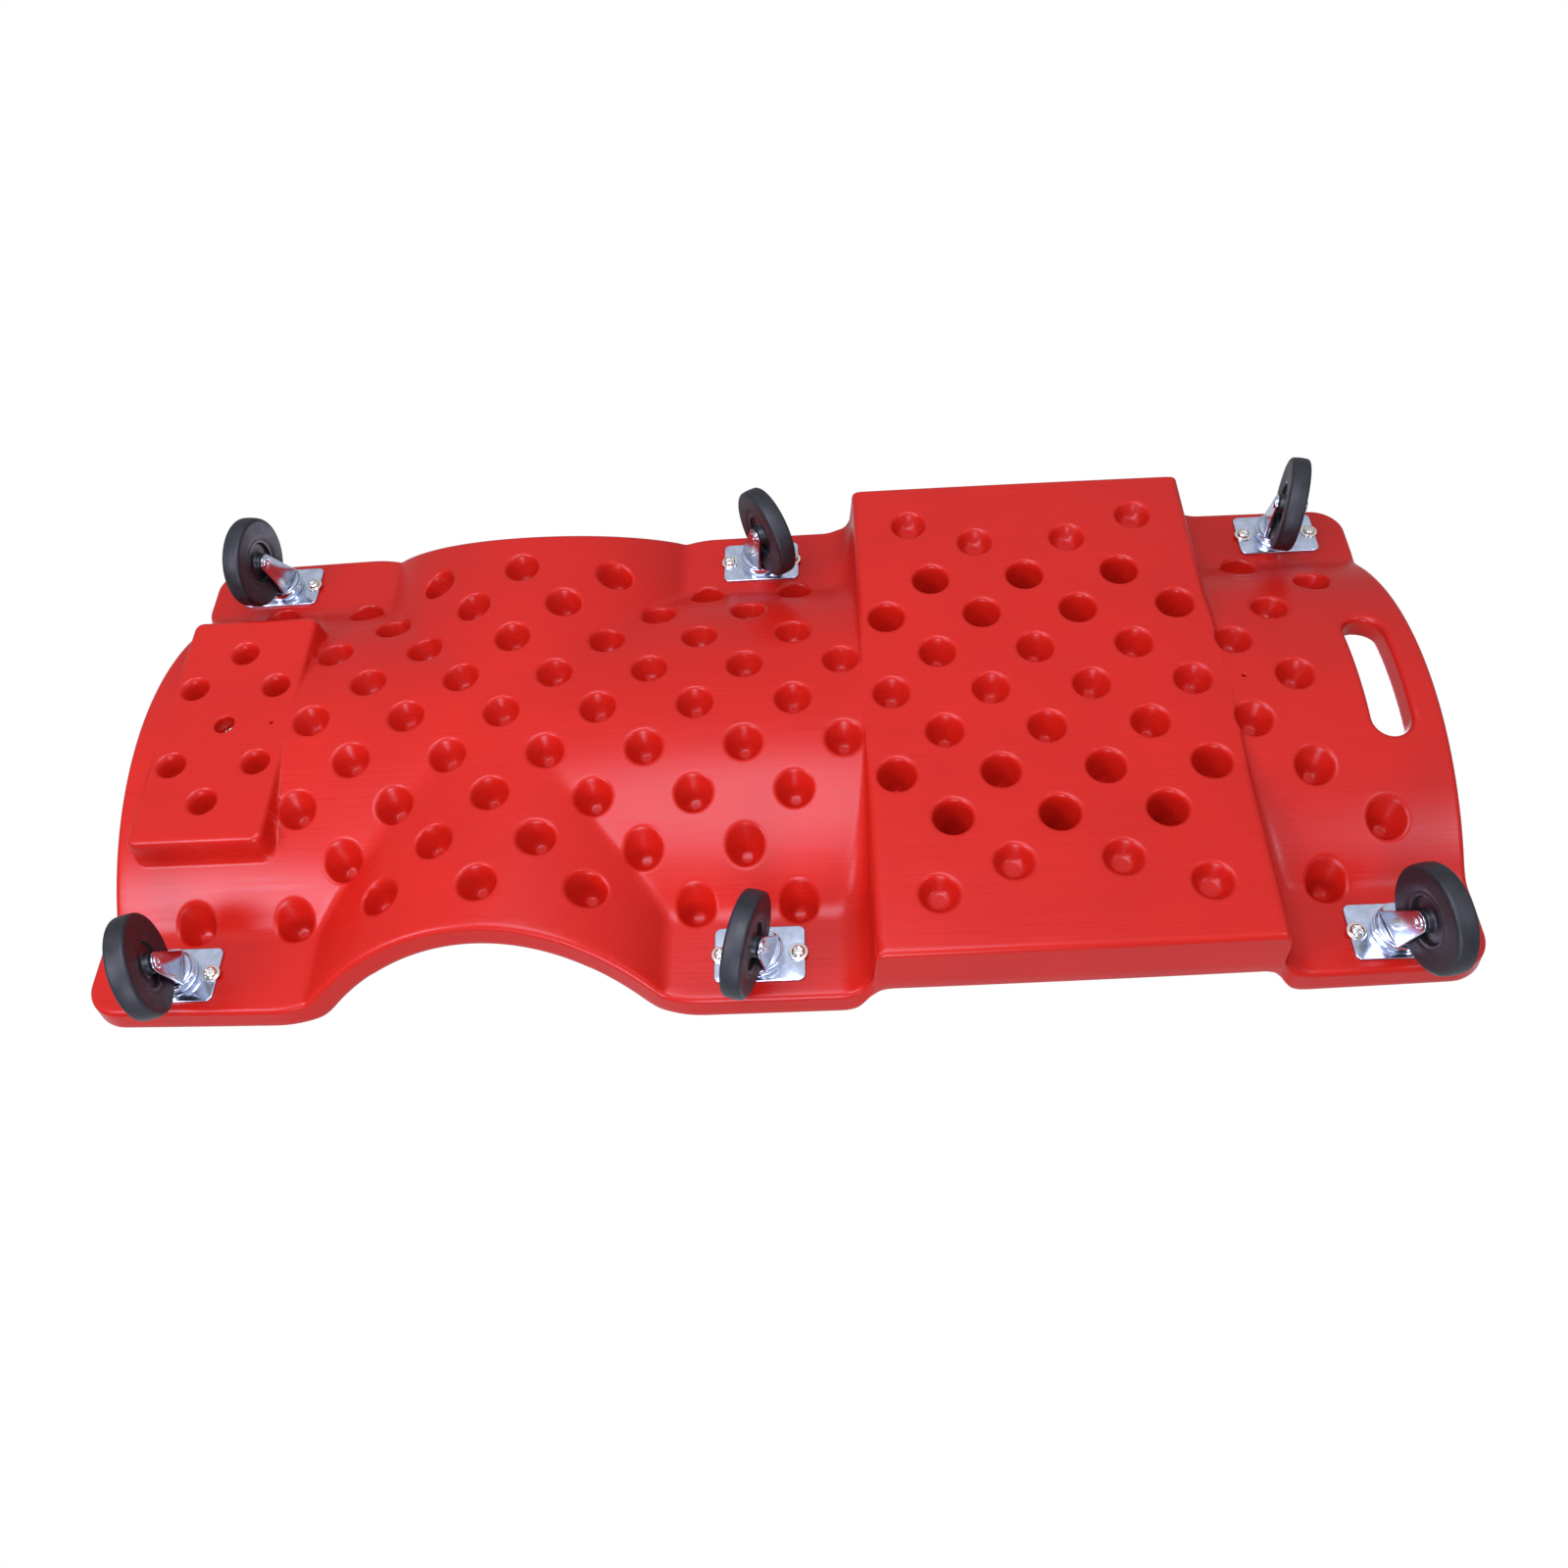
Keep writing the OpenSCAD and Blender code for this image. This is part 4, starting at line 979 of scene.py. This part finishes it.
def wheel_rubber():
    """Hard black rubber: a bloom of lighter patches on it, small scuffs, and a slightly uneven skin."""
    material, tree, shader, mm = new_material("hard_rubber")
    bloom, scuff = noise(tree, mm, 0.09, 5.0, 0.62), noise(tree, mm, 0.55, 6.0, 0.7)
    spots = ranged(tree, scuff, 0.62, 0.74, 0.0, 0.55)
    patch = ranged(tree, bloom, 0.35, 0.7, 0.0, 0.5)
    pale = combined(tree, "MAXIMUM", spots, patch)
    dark, light = (*linear("#111115"), 1), (*linear("#26272e"), 1)
    mix = node(tree, "ShaderNodeMix", {"data_type": "RGBA"}, Factor=pale, i6=dark, i7=light)
    plug(tree, shader, Base_Color=mix.outputs[2], Roughness=ranged(tree, bloom, 0.3, 0.7, 0.42, 0.58))
    plug(tree, shader, Normal=bumped(tree, scuff, 0.3, 0.0002))
    return material


def vinyl(name, hex_colour):
    """Upholstery vinyl: a pebbled grain of small cells with creases between them, on a soft shine."""
    material, tree, shader, mm = new_material(name)
    cells = node(tree, "ShaderNodeTexVoronoi", {"feature": "DISTANCE_TO_EDGE"}, Vector=mm, Scale=0.75)
    pebble = ranged(tree, cells.outputs["Distance"], 0.0, 0.16, 0.0, 1.0)
    tone = ranged(tree, noise(tree, mm, 0.05, 3.0), 0.3, 0.7, 0.85, 1.15)
    plug(tree, shader, Base_Color=shaded(tree, linear(hex_colour), tone))
    plug(tree, shader, Roughness=ranged(tree, pebble, 0.0, 1.0, 0.62, 0.40))
    plug(tree, shader, Normal=bumped(tree, pebble, 0.35, 0.0003))
    return material


# --- operators ---


def dress(nodes, material):
    """Gives a material to CAD nodes that keep their own shape."""
    for name in nodes:
        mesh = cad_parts[name].data
        mesh.materials.clear()
        mesh.materials.append(material)


def fit(piece, body, node_name, material):
    """Dresses a piece, hangs it on its body and lets it stand for its CAD node."""
    piece.data.materials.append(material)
    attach(piece, body)
    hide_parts(node_name)


class CREEPER_OT_deck(bpy.types.Operator):
    """Builds the moulded skin of the deck"""

    bl_idname = "creeper.deck"
    bl_label = "Deck"

    def execute(self, context):
        settings = context.scene.creeper_deck
        fit(deck_skin(settings), "deck_body", "deck", moulded_polyethylene(settings.colour))
        return {"FINISHED"}


class CREEPER_OT_casters(bpy.types.Operator):
    """Builds the six casters"""

    bl_idname = "creeper.casters"
    bl_label = "Casters"

    def execute(self, context):
        # Zinc plate on sheet steel, bluish from its passivation
        zinc = plated_steel("zinc_plated_steel", "#c3cbdc", 0.17, spangle_mm=9.0)
        # Polished bearing steel of the race ring, the balls and the kingpin
        bright = plated_steel("bright_bearing_steel", "#d5dae6", 0.12)
        rubber = wheel_rubber()
        # Black moulded nylon of the wheel cores
        core = plain_plastic("moulded_nylon", "#15151a", 0.4)
        for spot in SPOTS:
            for name, build, body, slot, material in (
                ("caster_plate", caster_plate, "deck_body", "zinc_plate", zinc),
                ("kingpin", kingpin, "deck_body", "zinc_plate", bright),
                ("fork", fork, f"swivel_{spot}", "zinc_plate", zinc),
                ("race_cover", race_cover, f"swivel_{spot}", "zinc_plate", bright),
                ("axle", axle, f"swivel_{spot}", "zinc_plate", bright),
                ("wheel_core", wheel_core, f"wheel_{spot}", "wheel_plastic", core),
                ("tyre", tyre, f"wheel_{spot}", "tyre_rubber", rubber),
            ):
                piece = new_mesh(f"{name}_{spot}_shell", build(spot), merge=0.004)
                fit(piece, body, f"{name}_{spot}", material)
        dress([f"swivel_balls_{spot}" for spot in SPOTS], bright)
        return {"FINISHED"}


class CREEPER_OT_fasteners(bpy.types.Operator):
    """Builds the screws and the washers"""

    bl_idname = "creeper.fasteners"
    bl_label = "Fasteners"

    def execute(self, context):
        # Nickel plate, a little warmer than the zinc
        nickel = plated_steel("nickel_plated_steel", "#ded9cf", 0.14)
        verts, faces = screw(6.0, 4.0, 3.0, BOARD_TOP - BELLY_Z - WELL_D)
        headrest = [(verts + [SCREW_X, 0, BELLY_Z + WELL_D], faces)]
        for name, parts in (
            ("caster_screws", caster_screws()),
            ("caster_washers", caster_washers()),
            ("headrest_screw", headrest),
        ):
            fit(new_mesh(f"{name}_detail", parts, merge=0.004), "deck_body", name, nickel)
        return {"FINISHED"}


class CREEPER_OT_headrest(bpy.types.Operator):
    """Builds the headrest: its board, its padded cover and the cover's welt"""

    bl_idname = "creeper.headrest"
    bl_label = "Headrest"

    def execute(self, context):
        settings = context.scene.creeper_headrest
        # Black moulded board under the pad
        board = new_mesh("headrest_base", headrest_board(), merge=0.004)
        fit(board, "deck_body", "headrest_board", plain_plastic("moulded_board", "#1b1b1e", 0.5))
        cover = vinyl("upholstery_vinyl", "#1a1a1d")
        pad = headrest_cushion(settings)
        fit(pad, "deck_body", "headrest_cushion", cover)
        welt = new_mesh("headrest_welt", headrest_piping(pad))
        welt.data.materials.append(cover)
        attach(welt, "deck_body")
        return {"FINISHED"}


class CREEPER_OT_stage(bpy.types.Operator):
    """Sets the camera, the lamps, the white surroundings and the floor"""

    bl_idname = "creeper.stage"
    bl_label = "Stage"

    def execute(self, context):
        settings = context.scene.creeper_stage
        scene = context.scene
        camera = bpy.data.objects.new("camera", bpy.data.cameras.new("camera"))
        scene.collection.objects.link(camera)
        camera.data.lens = settings.lens
        camera.data.clip_start = 0.01
        forward, up = Vector((-0.0546, -0.5507, 0.8329)).normalized(), Vector((0.0443, -0.8347, -0.5489))
        right = forward.cross(up).normalized()
        up = right.cross(forward)
        turn = Matrix((right, up, -forward)).transposed().to_4x4()
        camera.matrix_world = Matrix.Translation((0.0693, 0.5885, -0.7304)) @ turn
        scene.camera = camera

        for name, place, aim, size, power in (
            ("lamp_below", (-0.12, 0.24, -1.15), (-0.12, 0.24, 0), 0.9, settings.under_light),
            ("lamp_side", (-1.15, 0.95, -1.1), (-0.3, 0.1, 0), 0.6, settings.side_light),
            ("lamp_front", (-0.1, 1.7, -0.25), (-0.1, 0.2, 0.08), 0.7, settings.front_light),
            ("lamp_foot", (1.25, 0.75, -1.15), (0.1, 0, 0), 0.35, settings.foot_light),
            ("lamp_above", (0.7, -0.9, 2.0), (0, 0, 0), 1.6, settings.over_light),
        ):
            lamp = bpy.data.objects.new(name, bpy.data.lights.new(name, "AREA"))
            lamp.data.shape, lamp.data.size, lamp.data.energy = "DISK", size, power
            lamp.data.color = linear("#e2e5ff")
            lamp.location = place
            lamp.rotation_mode = "QUATERNION"
            lamp.rotation_quaternion = (Vector(aim) - Vector(place)).to_track_quat("-Z", "Y")
            lamp.visible_camera = False
            scene.collection.objects.link(lamp)

        world = bpy.data.worlds.new("white_surroundings")
        world.use_nodes = True
        tree = world.node_tree
        ray, way = node(tree, "ShaderNodeLightPath"), node(tree, "ShaderNodeTexCoord")
        seen = combined(tree, "MAXIMUM", ray.outputs["Is Camera Ray"], ray.outputs["Is Transmission Ray"])
        height = node(tree, "ShaderNodeSeparateXYZ", Vector=way.outputs["Generated"]).outputs["Z"]
        down = ranged(tree, height, -1, 0, settings.nadir, settings.horizon)
        above = ranged(tree, height, 0, 1, settings.horizon, settings.zenith)
        level = node(tree, "ShaderNodeMix", Factor=seen, i2=combined(tree, "MAXIMUM", down, above), i3=1.0)
        cool, white = (*linear("#f1f5ff"), 1), (1, 1, 1, 1)
        tint = node(tree, "ShaderNodeMix", {"data_type": "RGBA"}, Factor=seen, i6=cool, i7=white)
        plug(tree, tree.nodes["Background"], Color=tint.outputs[2], Strength=level.outputs[0])
        scene.world = world
        scene.view_settings.view_transform = "Standard"

        floor_mesh()
        return {"FINISHED"}


def floor_mesh():
    """A round floor at height zero, rings of points on a disc, see-through from below and to light."""
    count, radii = 96, np.array([0.5, 1.5, 4.0, 12.0])[:, None]
    a = np.linspace(0, 2 * np.pi, count + 1)[:-1]
    points = np.stack([radii * np.cos(a), radii * np.sin(a), 0 * radii * a], -1).reshape(-1, 3)
    points = np.concatenate([points, [[0, 0, 0]]])
    k = np.arange(count)
    centre = np.stack([np.full(count, len(radii) * count), k, (k + 1) % count], -1)
    mesh = bpy.data.meshes.new("floor")
    mesh.from_pydata(points.tolist(), [], centre.tolist() + strip_faces(len(radii), count)[:, ::-1].tolist())
    bm = bmesh.new()
    bm.from_mesh(mesh)
    bmesh.ops.recalc_face_normals(bm, faces=bm.faces)
    bm.to_mesh(mesh)
    bm.free()
    if mesh.polygons[0].normal.z < 0:
        mesh.flip_normals()
    floor = bpy.data.objects.new("floor", mesh)
    bpy.context.scene.collection.objects.link(floor)
    material = bpy.data.materials.new("pale_floor")
    material.use_nodes = True
    tree = material.node_tree
    shader = tree.nodes["Principled BSDF"]
    plug(tree, shader, Base_Color=(*linear("#f4f4f2"), 1), Roughness=0.9, Specular_IOR_Level=0.1)
    ray, side = node(tree, "ShaderNodeLightPath"), node(tree, "ShaderNodeNewGeometry")
    front = combined(tree, "SUBTRACT", 1.0, side.outputs["Backfacing"])
    solid = combined(tree, "MULTIPLY", front, ray.outputs["Is Camera Ray"])
    clear = node(tree, "ShaderNodeBsdfTransparent")
    mix = node(tree, "ShaderNodeMixShader", i0=solid, i1=clear.outputs[0], i2=shader.outputs[0])
    plug(tree, tree.nodes["Material Output"], Surface=mix.outputs[0])
    mesh.materials.append(material)
    return floor


class CREEPER_PT_panel(bpy.types.Panel):
    """Lists the creeper's settings and operators"""

    bl_idname = "CREEPER_PT_panel"
    bl_label = "Creeper"
    bl_space_type = "VIEW_3D"
    bl_region_type = "UI"
    bl_category = "Creeper"

    def draw(self, context):
        for group in SETTINGS:
            settings = getattr(context.scene, group)
            box = self.layout.box()
            for key in settings.bl_rna.properties.keys():
                if key not in {"rna_type", "name"}:
                    box.prop(settings, key)
        for operator in OPERATORS:
            self.layout.operator(operator.bl_idname)


SETTINGS = {
    "creeper_deck": CreeperDeckSettings,
    "creeper_headrest": CreeperHeadrestSettings,
    "creeper_stage": CreeperStageSettings,
}
OPERATORS = [CREEPER_OT_stage, CREEPER_OT_deck, CREEPER_OT_casters, CREEPER_OT_fasteners, CREEPER_OT_headrest]


def register():
    """Registers the classes and hangs the settings on the scene."""
    for cls in [*SETTINGS.values(), *OPERATORS, CREEPER_PT_panel]:
        bpy.utils.register_class(cls)
    for key, cls in SETTINGS.items():
        setattr(bpy.types.Scene, key, PointerProperty(type=cls))


def unregister():
    """Takes the settings and the classes away again."""
    for key in SETTINGS:
        delattr(bpy.types.Scene, key)
    for cls in reversed([*SETTINGS.values(), *OPERATORS, CREEPER_PT_panel]):
        bpy.utils.unregister_class(cls)


def main():
    """Builds everything."""
    register()
    bpy.ops.creeper.stage()
    bpy.ops.creeper.deck()
    bpy.ops.creeper.casters()
    bpy.ops.creeper.fasteners()
    bpy.ops.creeper.headrest()


if __name__ == "__main__":
    main()
